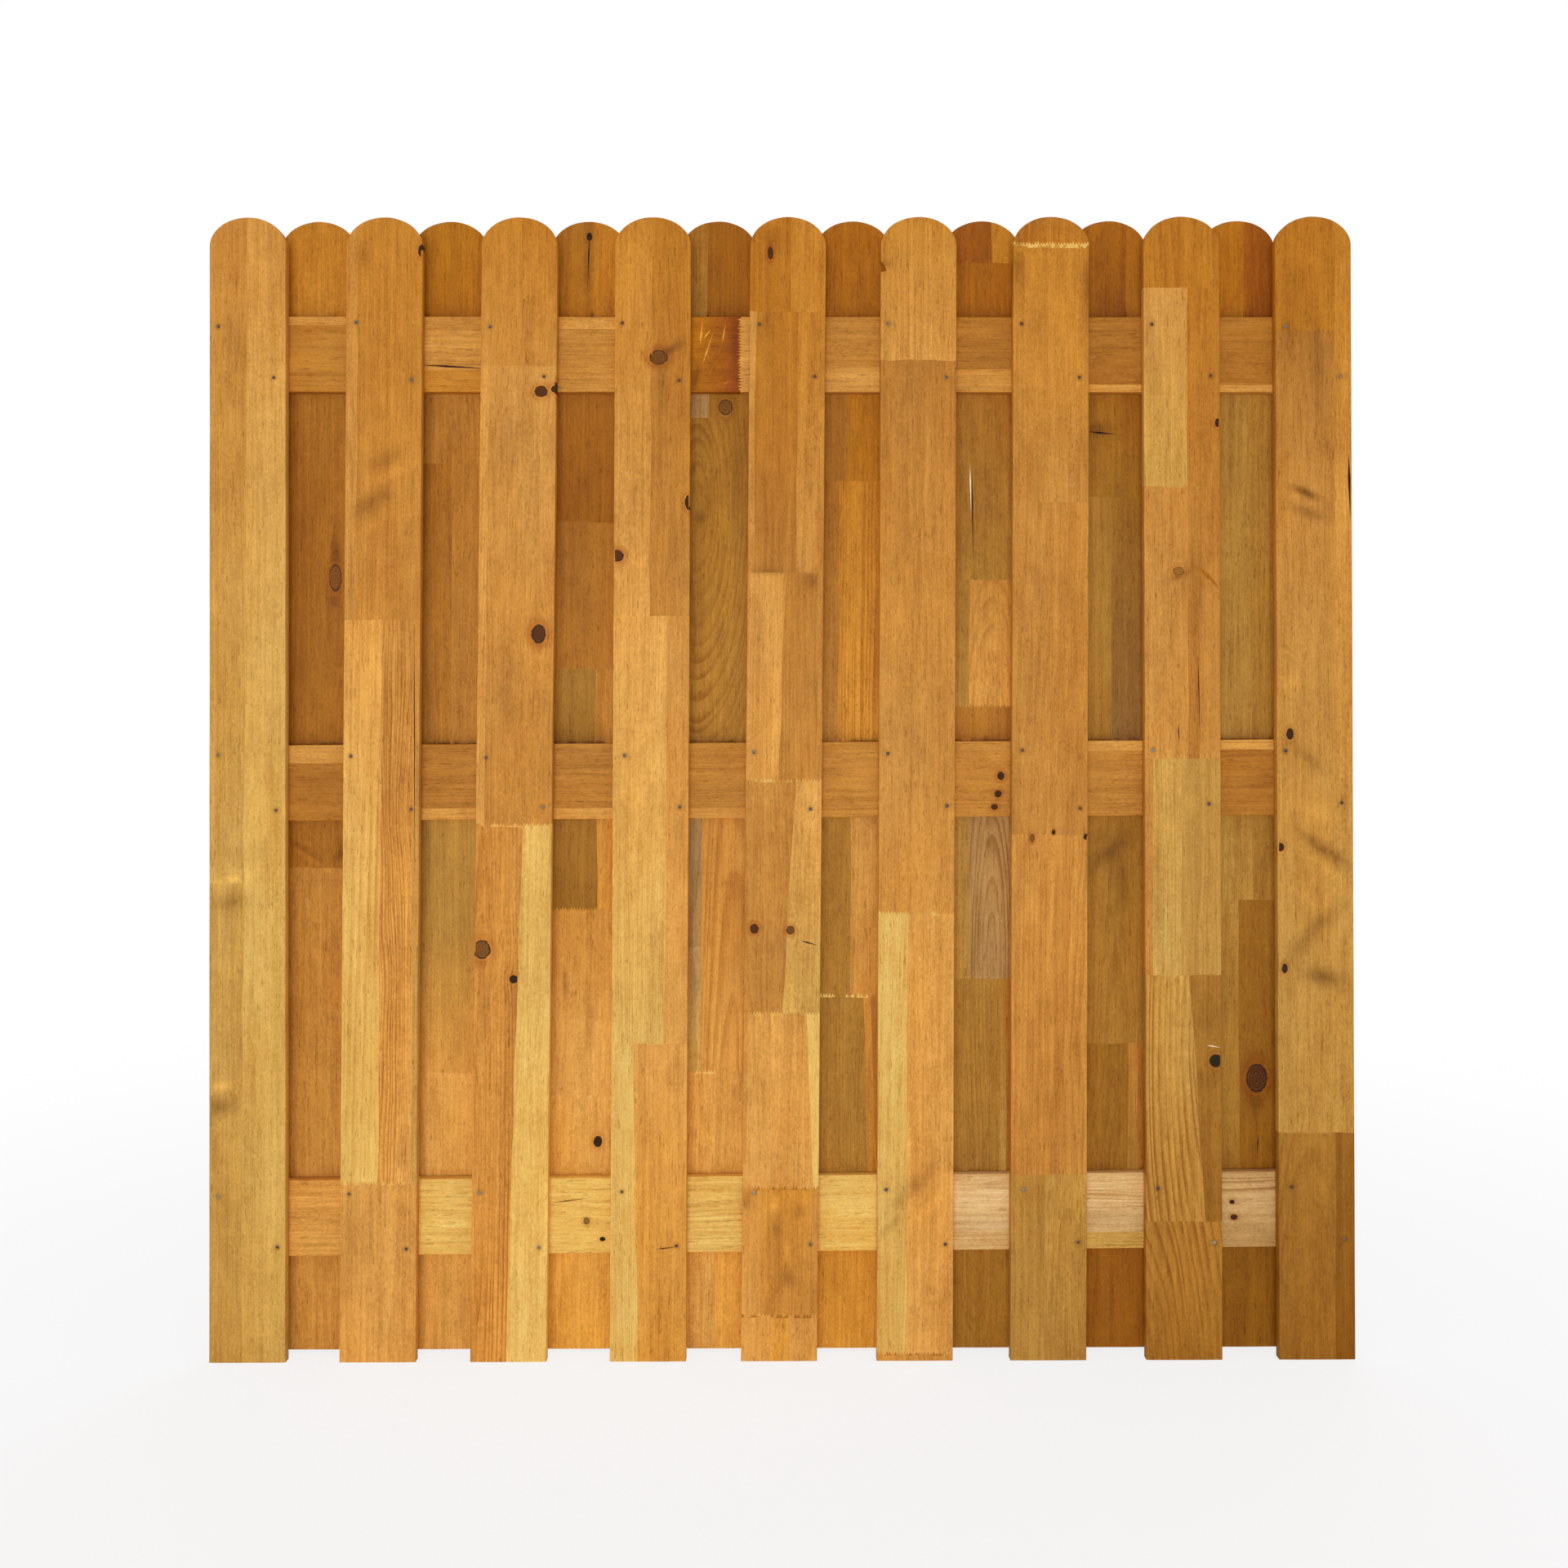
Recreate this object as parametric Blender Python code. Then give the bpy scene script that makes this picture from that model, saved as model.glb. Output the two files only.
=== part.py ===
"""Board-on-board plank fence panel with round plank heads.

Two layers of upright planks are nailed to three cross rails. The front planks stand a gap
apart and the back planks close those gaps from behind, lapping the front ones a little.
Metres, +Z up. The front faces -Y. The origin is at the foot of the panel's left edge, in
the middle of the front planks' thickness, where the panel meets its left post.
"""

import math

import bmesh
import bpy
from mathutils import Vector

# The panel
PANEL_WIDTH = 1.800
PANEL_HEIGHT = 1.800
FRONT_PLANKS = 9

# The planks, all of one section
PLANK_WIDTH = 0.120
PLANK_THICKNESS = 0.018
HEAD_RISE = 0.046
HEAD_SEGMENTS = 24

# The rails, nailed flat between the two layers of planks
RAIL_WIDTH = 0.120
RAIL_THICKNESS = 0.018
RAIL_BELOW_HEADS = 0.153
RAIL_ABOVE_FEET = 0.165
MIDDLE_RAIL_LIFT = 0.005

# Workmanship
ARRIS_RADIUS = 0.002
ARRIS_SEGMENTS = 2
SEAT_GAP = 0.0003
BACK_PLANK_LIFT = 0.005

# How far each plank was nailed off its even place, at its head and at its foot. Positive
# is to the right. The outer planks are flush with the rail ends.
PLANK_DRIFT = {
    "front_plank_2": (0.006, -0.006),
    "front_plank_3": (0.009, -0.011),
    "front_plank_4": (0.009, -0.002),
    "front_plank_5": (0.012, -0.006),
    "front_plank_6": (0.008, -0.003),
    "front_plank_7": (0.007, -0.003),
    "front_plank_8": (0.002, 0.001),
    "back_plank_1": (-0.004, -0.003),
    "back_plank_2": (-0.003, -0.008),
    "back_plank_3": (0.009, -0.006),
    "back_plank_4": (0.006, -0.004),
    "back_plank_5": (0.011, -0.004),
    "back_plank_6": (0.007, -0.003),
    "back_plank_7": (0.000, -0.001),
    "back_plank_8": (-0.004, 0.001),
}
NO_DRIFT = (0.0, 0.0)

# How much higher each rail was nailed at its right end than at its left
BOTTOM_RAIL_CLIMB = 0.012
MIDDLE_RAIL_CLIMB = 0.007
TOP_RAIL_CLIMB = -0.003

# A splinter broken out of one plank's left edge, just below its head
CHIPPED_PLANK = "front_plank_6"
CHIP_BELOW_HEAD = 0.070
CHIP_LENGTH = 0.018
CHIP_DEPTH = 0.009

# The layers, from the front planks' middle plane backwards
RAIL_PLANE = PLANK_THICKNESS / 2 + SEAT_GAP + RAIL_THICKNESS / 2
BACK_PLANE = RAIL_PLANE + RAIL_THICKNESS / 2 + SEAT_GAP + PLANK_THICKNESS / 2
PLANK_PITCH = (PANEL_WIDTH - PLANK_WIDTH) / (FRONT_PLANKS - 1)
TOLERANCE = 1e-6


def clear_scene():
    for old in list(bpy.data.objects):
        bpy.data.objects.remove(old, do_unlink=True)


def wood(name, colour, roughness):
    """A stained softwood finish."""
    material = bpy.data.materials.new(name)
    material.use_nodes = True
    shader = material.node_tree.nodes["Principled BSDF"]
    shader.inputs["Base Color"].default_value = (*colour, 1.0)
    shader.inputs["Roughness"].default_value = roughness
    shader.inputs["Metallic"].default_value = 0.0
    material.diffuse_color = (*colour, 1.0)
    return material


def round_head(height):
    """The points of a plank's half-oval head, from its right shoulder over to its left."""
    half = PLANK_WIDTH / 2
    points = []
    for step in range(HEAD_SEGMENTS + 1):
        turn = math.pi * step / HEAD_SEGMENTS
        points.append((half * math.cos(turn), height - HEAD_RISE * (1 - math.sin(turn))))
    return points


def chip(height):
    """The points of the broken edge, from its upper end to its lower one."""
    edge = -PLANK_WIDTH / 2
    top = height - CHIP_BELOW_HEAD
    return [
        (edge, top),
        (edge + 0.45 * CHIP_DEPTH, top - 0.25 * CHIP_LENGTH),
        (edge + CHIP_DEPTH, top - 0.85 * CHIP_LENGTH),
        (edge, top - CHIP_LENGTH),
    ]


def plank_outline(lean, chipped):
    """A plank's outline in its own plane. Its foot is sawn level although the plank leans."""
    half = PLANK_WIDTH / 2
    foot = half * math.tan(lean)
    outline = [(-half, -foot), (half, foot)]
    outline += round_head(PANEL_HEIGHT)
    if chipped:
        outline += chip(PANEL_HEIGHT)
    return outline


def rail_outline(climb_angle):
    """A rail's outline. Its ends are sawn plumb although the rail climbs."""
    half = PANEL_WIDTH / 2 / math.cos(climb_angle)
    reach = RAIL_WIDTH / 2
    skew = reach * math.tan(climb_angle)
    return [
        (-half - skew, -reach),
        (half - skew, -reach),
        (half + skew, reach),
        (-half + skew, reach),
    ]


def is_sawn(edge, sawn_lines):
    """Whether both ends of an edge lie on one sawn end of the board."""
    first, second = (Vector((v.co.x, v.co.z)) for v in edge.verts)
    for start, end in sawn_lines:
        along = (Vector(end) - Vector(start)).normalized()
        across = Vector((-along.y, along.x))
        offsets = [abs((point - Vector(start)).dot(across)) for point in (first, second)]
        if max(offsets) < TOLERANCE:
            return True
    return False


def board(name, outline, thickness, sawn_lines, material):
    """A flat board cut to an outline, with eased arrises on all but its sawn ends."""
    shape = bmesh.new()
    corners = [shape.verts.new((x, -thickness / 2, z)) for x, z in outline]
    face = shape.faces.new(corners)
    grown = bmesh.ops.extrude_face_region(shape, geom=[face])
    moved = [item for item in grown["geom"] if isinstance(item, bmesh.types.BMVert)]
    bmesh.ops.translate(shape, verts=moved, vec=(0, thickness, 0))
    bmesh.ops.recalc_face_normals(shape, faces=shape.faces)
    arrises = []
    for edge in shape.edges:
        in_a_face = abs(edge.verts[0].co.y - edge.verts[1].co.y) < TOLERANCE
        if in_a_face and not is_sawn(edge, sawn_lines):
            arrises.append(edge)
    bmesh.ops.bevel(
        shape,
        geom=arrises,
        offset=ARRIS_RADIUS,
        segments=ARRIS_SEGMENTS,
        profile=0.5,
        affect="EDGES",
    )
    mesh = bpy.data.meshes.new(name)
    shape.to_mesh(mesh)
    shape.free()
    mesh.materials.append(material)
    mesh.shade_smooth()
    mesh.set_sharp_from_angle(angle=math.radians(30))
    made = bpy.data.objects.new(name, mesh)
    bpy.context.scene.collection.objects.link(made)
    return made


def plank(name, centre, plane, lift, material):
    """An upright plank, turned about its foot to where its head was nailed."""
    head_drift, foot_drift = PLANK_DRIFT.get(name, NO_DRIFT)
    lean = math.atan2(head_drift - foot_drift, PANEL_HEIGHT)
    outline = plank_outline(lean, name == CHIPPED_PLANK)
    foot_line = (outline[0], outline[1])
    made = board(name, outline, PLANK_THICKNESS, [foot_line], material)
    made.location = (centre + foot_drift, plane, lift)
    made.rotation_euler = (0, lean, 0)
    return made


def rail(name, middle_height, climb, material):
    """A cross rail, turned about its middle so that its right end is higher by the climb."""
    climb_angle = math.atan2(climb, PANEL_WIDTH)
    outline = rail_outline(climb_angle)
    left_end = (outline[0], outline[3])
    right_end = (outline[1], outline[2])
    made = board(name, outline, RAIL_THICKNESS, [left_end, right_end], material)
    made.location = (PANEL_WIDTH / 2, RAIL_PLANE, middle_height)
    made.rotation_euler = (0, -climb_angle, 0)
    return made


def front_planks():
    material = wood("front_plank_wood", (0.60, 0.29, 0.07), 0.55)
    for index in range(FRONT_PLANKS):
        centre = PLANK_WIDTH / 2 + index * PLANK_PITCH
        plank(f"front_plank_{index + 1}", centre, 0, 0, material)


def back_planks():
    material = wood("back_plank_wood", (0.42, 0.20, 0.05), 0.60)
    for index in range(FRONT_PLANKS - 1):
        centre = PLANK_WIDTH / 2 + (index + 0.5) * PLANK_PITCH
        plank(f"back_plank_{index + 1}", centre, BACK_PLANE, BACK_PLANK_LIFT, material)


def rails():
    material = wood("rail_wood", (0.62, 0.33, 0.09), 0.55)
    bottom = RAIL_ABOVE_FEET + RAIL_WIDTH / 2
    top = PANEL_HEIGHT - RAIL_BELOW_HEADS - RAIL_WIDTH / 2
    middle = (bottom + top) / 2 + MIDDLE_RAIL_LIFT
    rail("bottom_rail", bottom, BOTTOM_RAIL_CLIMB, material)
    rail("middle_rail", middle, MIDDLE_RAIL_CLIMB, material)
    rail("top_rail", top, TOP_RAIL_CLIMB, material)


clear_scene()
front_planks()
rails()
back_planks()
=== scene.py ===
"""The looks of a board-on-board plank fence panel: glued-up boards, nails, light and camera.

Each CAD board is replaced by a mesh of its size that knows which glued strip each of its
faces belongs to. The wood materials read that, so that every strip has its own tone and its
own run of grain.
"""

import math
import random

import bmesh
import bpy
from mathutils import Matrix, Vector, noise
from mathutils.geometry import delaunay_2d_cdt


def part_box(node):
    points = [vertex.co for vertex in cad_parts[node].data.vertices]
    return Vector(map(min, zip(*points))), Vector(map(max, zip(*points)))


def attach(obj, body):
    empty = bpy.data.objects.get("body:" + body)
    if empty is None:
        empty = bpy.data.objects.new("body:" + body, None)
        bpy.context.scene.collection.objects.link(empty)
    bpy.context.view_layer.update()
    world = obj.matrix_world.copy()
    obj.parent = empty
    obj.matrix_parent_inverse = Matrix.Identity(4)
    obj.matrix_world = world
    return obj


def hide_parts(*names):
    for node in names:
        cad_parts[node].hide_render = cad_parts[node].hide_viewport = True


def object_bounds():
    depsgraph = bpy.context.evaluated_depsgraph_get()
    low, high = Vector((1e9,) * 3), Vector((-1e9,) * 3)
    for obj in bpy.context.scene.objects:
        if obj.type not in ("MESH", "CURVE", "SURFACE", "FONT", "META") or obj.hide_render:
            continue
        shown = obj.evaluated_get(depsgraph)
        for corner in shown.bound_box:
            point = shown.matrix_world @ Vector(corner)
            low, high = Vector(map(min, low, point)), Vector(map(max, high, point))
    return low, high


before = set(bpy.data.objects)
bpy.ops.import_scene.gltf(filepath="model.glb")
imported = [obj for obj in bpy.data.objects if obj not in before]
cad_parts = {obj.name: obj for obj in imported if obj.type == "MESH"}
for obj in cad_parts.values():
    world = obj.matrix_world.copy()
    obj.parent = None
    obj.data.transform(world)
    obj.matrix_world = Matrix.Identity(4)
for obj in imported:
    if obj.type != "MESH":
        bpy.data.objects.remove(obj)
cad_low, cad_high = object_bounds()

MM = 0.001
TINY = 1e-5

# Sizes that the solids have too, and the splinter's edge as shares of its depth and length
HEAD_RISE = 46 * MM
NEAR_SHOULDER = 2 * MM
CHIPPED_PLANK = "front_plank_6"
CHIP_BELOW_HEAD = 70 * MM
CHIP_LENGTH = 18 * MM
CHIP_DEPTH = 9 * MM
CHIP_EDGE = ((0, 0), (0.45, 0.25), (0.72, 0.50), (1, 0.85))

# Board edges. Wander is in bends to a metre, and an arris is its least share plus a spread
ARRIS = 1.7 * MM
ARRIS_LEAST = 0.7
ARRIS_SPREAD = 0.6
ARRIS_STEPS = 3
SAWN_ARRIS = 0.5 * MM
SAWN_WEAR = 0.03 * MM
SIDE_WEAR_AND_HIGHLIGHT = 0.6
NEARLY_STRAIGHT = 0.98
FACE_SKIN = 0.2 * MM
EDGE_WOBBLE = 0.45 * MM
EDGE_STEP = 32 * MM
WANDER_ACROSS = 60
WANDER_ALONG = 9
WANDER_LANES = 50
HEAD_STEPS = 44

# The mesh of a board's face, which is cut along its joints and round its marks
GRID_ACROSS = 11 * MM
GRID_ALONG = 18 * MM
GRID_SCATTER = 0.2
FACE_MARGIN = 2 * MM
STAIN_STEPS = (-1.6, -1.0, -0.5, 0.0, 0.5, 1.0, 1.6)

# Comb joints and glue lines
TOOTH_PITCH = 4.6 * MM
TOOTH_LENGTH = 8 * MM
TOOTH_REACH = 0.32
TOOTH_SPREAD = 0.18
TEETH_MISSING = 0.35
PLAIN_JOINT = 1.6 * MM
JOINT_STRAY = 1.6 * MM
JOINT_BENDS = 38
SEAM_STRAY = 2.2 * MM
SEAM_BENDS = 11
SEAM_STEP = 22 * MM
CRACK_WIDEST_AT = 0.35

# The seeds of the grain, which differ from board to board, piece to piece and strip to strip
SEED_LANES = 900
SEED_BY_PIECE = 7.7
SEED_BY_STRIP = 1.3

# Knots, in shares of their half width and half height
KNOT_RINGS = (0.0, 0.4, 0.75, 1.0, 1.3, 1.8, 2.4, 3.0)
KNOT_REACH = 3.0
KNOT_SPOKES = 12
KNOT_BEND_ALONG = 3.2
KNOT_BEND_ACROSS = 2.2
KNOT_BEND_CORE = 0.6

# Nails, and the dome of a head as shares of its radius and of how proud it stands
NAIL_RADIUS = 2.7 * MM
NAIL_SIZES = (0.9, 1.1)
NAIL_PROUD = (0.5, 0.95)
NAIL_PROFILE = ((0.45, 0.92), (0.8, 0.6), (1.0, 0.0), (1.0, -2.0))
NAIL_SIDES = 12
NAIL_ACROSS = 44 * MM
NAIL_UP = 42 * MM
NAIL_DRIFT = 4 * MM
# The dark ring round each head is partly rust and partly painted shade of a dimple that the mesh
# doesn't have
NAIL_HALO = 4.5 * MM
NAIL_RUST_AND_SHADE = 0.7
NAIL_RINGS = (0.0, 1.0, 1.5, 2.2, 3.5)
NAIL_SPOKES = 8
NAIL_RUST = (0.045, 0.027, 0.015, 1)
NAIL_ZINC = (0.27, 0.24, 0.2, 1)
NAIL_CLOUD = ((35, 35, 35), 2.0)
NAIL_CRYSTAL = ((1400, 1400, 1400), 2.0)
NAIL_METALLIC = 0.3
NAIL_BUMP = (0.3, 0.1 * MM)

# Painted shade on the back planks in the corner above each rail, as a crisp line and a soft reach
RAIL_SHADE_LINE = 1.6 * MM
RAIL_SHADE_REACH = 13 * MM
RAIL_SHADE = {"bottom_rail": (0.30, 0.15), "middle_rail": (0.85, 0.42), "top_rail": (1.0, 0.60)}
RAIL_SHADE_ROWS = (-0.5 * MM, 0.8 * MM, 2.5 * MM, 6 * MM, 12 * MM, 24 * MM)
RAIL_SHADE_COLUMNS = 8

# The wood's sheen, the white that it adds to a colour, and the darkest that a channel gets
SHEEN = 0.10
SHEEN_VEIL = 0.008
DARKEST_CHANNEL = 0.004

# Growth rings to a metre, and the heart of each strip's rings. A pair is the slope and the
# start of a line over a chance of the strip's own, in metres or, for a lean, to a metre
RINGS = 210.0
RING_CLOSENESS = (0.9 * RINGS, 0.55 * RINGS)
HEART_ASIDE = (-0.16, 0.08)
HEART_BEHIND = (0.09, 0.018)
LEAN_ASIDE = (0.05, -0.025)
LEAN_BEHIND = (0.05, -0.02)
WANDER_ASIDE = 0.035
WANDER_BEHIND = 0.025
OVAL_WANDER = 0.22
RING_STRENGTH = (0.30, 0.10)
RING_MOST = 0.9
RING_PACE = 2.6
RING_PACE_BENDS = 0.3
RINGS_IN_KNOT = 75.0

# What is added to a strip's seed for its chances, and for the shift of its textures
LUCKS = (0.31, 5.77)
LUCK_SHIFT = 2.9
SHIFT_REACH = (3, 3, 3)

# Each texture's bends to a metre across, in depth and along, and its detail
TEXTURES = {
    "wander": ((9, 9, 2.2), 2.0),
    "patchy": ((18, 18, 3), 2.0),
    "hair": ((430, 430, 12), 2.0),
    "streak": ((130, 130, 1.8), 3.0),
    "cloud": ((24, 24, 7), 4.0),
    "blot": ((60, 60, 34), 2.0),
    "crumb": ((330, 330, 200), 2.0),
    "drift": ((9, 9, 3), 2.0),
    "fleck": ((400, 400, 50), 1.0),
    "ragged": ((260, 260, 200), 2.0),
    "wear": ((40, 40, 9), 2.0),
}

# Smooth steps: the value where each starts and ends, then what it gives there if not 0 and 1
STEPS = {
    "late_rise": (0.3, 0.9),
    "late_fall": (0.92, 1.0, 1, 0),
    "patchy": (0.35, 0.65, 0.25, 1.0),
    "fleck": (0.63, 0.71),
    "pale": (0.34, 0.55),
    "drift": (0.3, 0.7),
    "halo": (0.2, 0.62, 0.0, 0.7),
    "halo_by_black": (0.0, 1.0, 1.0, 0.5),
    "halo_by_ringed": (0.0, 1.0, 1.0, 0.35),
    "collar_rise": (0.56, 0.63),
    "collar_fall": (0.66, 0.70, 1, 0),
    "heart_rings": (-1, 1, 0.65, 1.45),
    "clear_rings": (-1, 1, 0.5, 1.1),
    "bark_rise": (0.68, 0.70),
    "bark_fall": (0.73, 0.77, 1, 0),
    "core": (0.67, 0.71),
    "wear": (0.35, 0.65, 0.2, 1.0),
    "wood_rough": (0.6, 1.4, 0.52, 0.68),
    "clean_zinc": (0.5, 0.68),
    "crystal": (0.3, 0.7, 0.75, 1.2),
    "zinc_rough": (0.3, 0.7, 0.35, 0.6),
}

# How strongly the flecks and the parts of a knot show, and how they shape the surface
FLECK_SHARE = 0.55
KNOT_RAGGED = 0.14
COLLAR_SHARE = 0.4
BARK_SHARE = 0.7
CORE_SMOOTHER = -0.1
RELIEF = {"drawn": 0.8, "hair": 0.6, "crumb": 0.8, "fleck": -0.5, "core": 0.5}
WOOD_BUMP = (0.6, 0.4 * MM)

# How strongly each texture of the wood shades it, and how much its drawn rings light it up
SHADES = (("hair", 0.8), ("streak", 0.75), ("cloud", 0.85), ("blot", 0.55), ("crumb", 0.9))
FIGURE_GLOW = 0.05

# What the parts of the figure multiply the wood's colour by. Pale wood darkens towards
# orange, and its red hardly changes, so it has shades of its own
TINTS = {
    "latewood": (0.62, 0.46, 0.28, 1),
    "darker": (0.73, 0.64, 0.50, 1),
    "darker_pale": (0.86, 0.68, 0.44, 1),
    "lighter": (1.27, 1.36, 1.50, 1),
    "lighter_pale": (1.13, 1.30, 1.52, 1),
    "warm": (1.03, 0.97, 0.86, 1),
    "cool": (1.00, 1.00, 1.03, 1),
    "fleck": (0.60, 0.48, 0.38, 1),
    # The stain tint also darkens the painted shade above the rails and round the nails
    "stain": (0.36, 0.29, 0.24, 1),
    "bleach": (1.35, 1.36, 1.30, 1),
    "halo": (0.72, 0.50, 0.33, 1),
    "collar": (1.35, 1.25, 1.1, 1),
    "clear_heart": (0.86, 0.76, 0.60, 1),
    # worn lightens the eased edges, partly as wear and partly as a painted highlight
    "worn": (1.4, 1.32, 1.15, 1),
}
RED_HEART = (0.09, 0.026, 0.004, 1)
BLACK_HEART = (0.021, 0.012, 0.004, 1)
BARK = (0.03, 0.014, 0.007, 1)

# How much lighter and less red each layer's wood is than it looks in the panel's recesses,
# and how much its eased edges are lightened, partly as wear and partly as a painted highlight
LAYER_GAIN = {
    "front": (1.01, 1.07, 1.18),
    "back": (1.11, 1.25, 1.41),
    "rail": (1.05, 1.14, 1.24),
}
ARRIS_WEAR_AND_HIGHLIGHT = {"front_plank_wood": 0.45, "back_plank_wood": 0.30, "rail_wood": 0.55}

# The studio and the photograph's camera, its turns in degrees
WHITE = (1, 1, 1, 1)
WORLD_LIGHT = 0.58
KEY_PLACE = (0.1, -8.4, 0.35)
KEY_SIZE = (4.5, 2.0)
KEY_POWER = 430
BACK_PLACE = (4.2, 7.5, 3.2)
BACK_SIZE = (5.0, 4.0)
BACK_POWER = 180
FLOOR_WHITE = 0.95
FLOOR_NEAR_SHARE = 0.8
FLOOR_NEAR = 0.7
FLOOR_FAR = 3.2
FLOOR_REACH = 30.0
CAMERA_PLACE = (0.8972, -2.3587, 1.0148)
CAMERA_PITCH = 0.347
CAMERA_ROLL = 0.105
CAMERA_YAW = -0.158
CAMERA_LENS = 34.29
CAMERA_SENSOR = 36
CAMERA_SHIFT = -0.05

# The stains of the wood: the palest and the darkest shade of each, as 0 to 255
STAINS = {
    "honey": ((242, 197, 106), (140, 87, 28)),
    "amber": ((228, 162, 70), (138, 70, 8)),
    "clay": ((230, 166, 82), (138, 78, 22)),
    "khaki": ((226, 184, 124), (132, 88, 42)),
}
DARKEST_STEP = 8
ACCENTS = {
    "resin": (178, 110, 6),
    "burnt_resin": (140, 68, 4),
    "splinter": (248, 234, 206),
    # The near-black crack tone is painted shade of a crack's depth; the face is not cut into
    "crack": (52, 28, 12),
}


def stain_tones():
    """Every tone by name. Each stain darkens in even steps, as from honey_0 to honey_8."""
    tones = dict(ACCENTS)
    for stain, (palest, darkest) in STAINS.items():
        for step in range(DARKEST_STEP + 1):
            share = step / DARKEST_STEP
            tones[f"{stain}_{step}"] = [p + (d - p) * share for p, d in zip(palest, darkest)]
    return tones


# A strip without an arch has an arch of no ovals
NO_ARCH = (0, 0, 1, 1, 0)


def strip(edge, tone, low_tone=None, low_edge=None, on=False, figure=1.0, arch=None):
    """One glued strip of a piece, up to the share of the board's width where it ends.

    The edge and the tone may change towards the piece's far end. A strip that goes on is one
    wood with the strip at the same place in the piece before. Figure is how strongly its
    growth rings show. An arch is a figure of nested ovals instead of near straight rings. It
    gives their middle as share and height, their half width and half height in mm, and how
    many there are.
    """
    return {
        "edge": edge,
        "low_edge": edge if low_edge is None else low_edge,
        "tone": tone,
        "low_tone": low_tone or tone,
        "on": on,
        "figure": figure,
        "arch": arch or NO_ARCH,
    }


def piece(end, *strips, teeth=None):
    """A length of a board down to the joint at that end, with its strips and its teeth's tone."""
    return end, list(strips), teeth


def board(*pieces, knots=(), stains=(), cracks=()):
    """A board's layout."""
    return {"pieces": list(pieces), "knots": knots, "stains": stains, "cracks": cracks}
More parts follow.
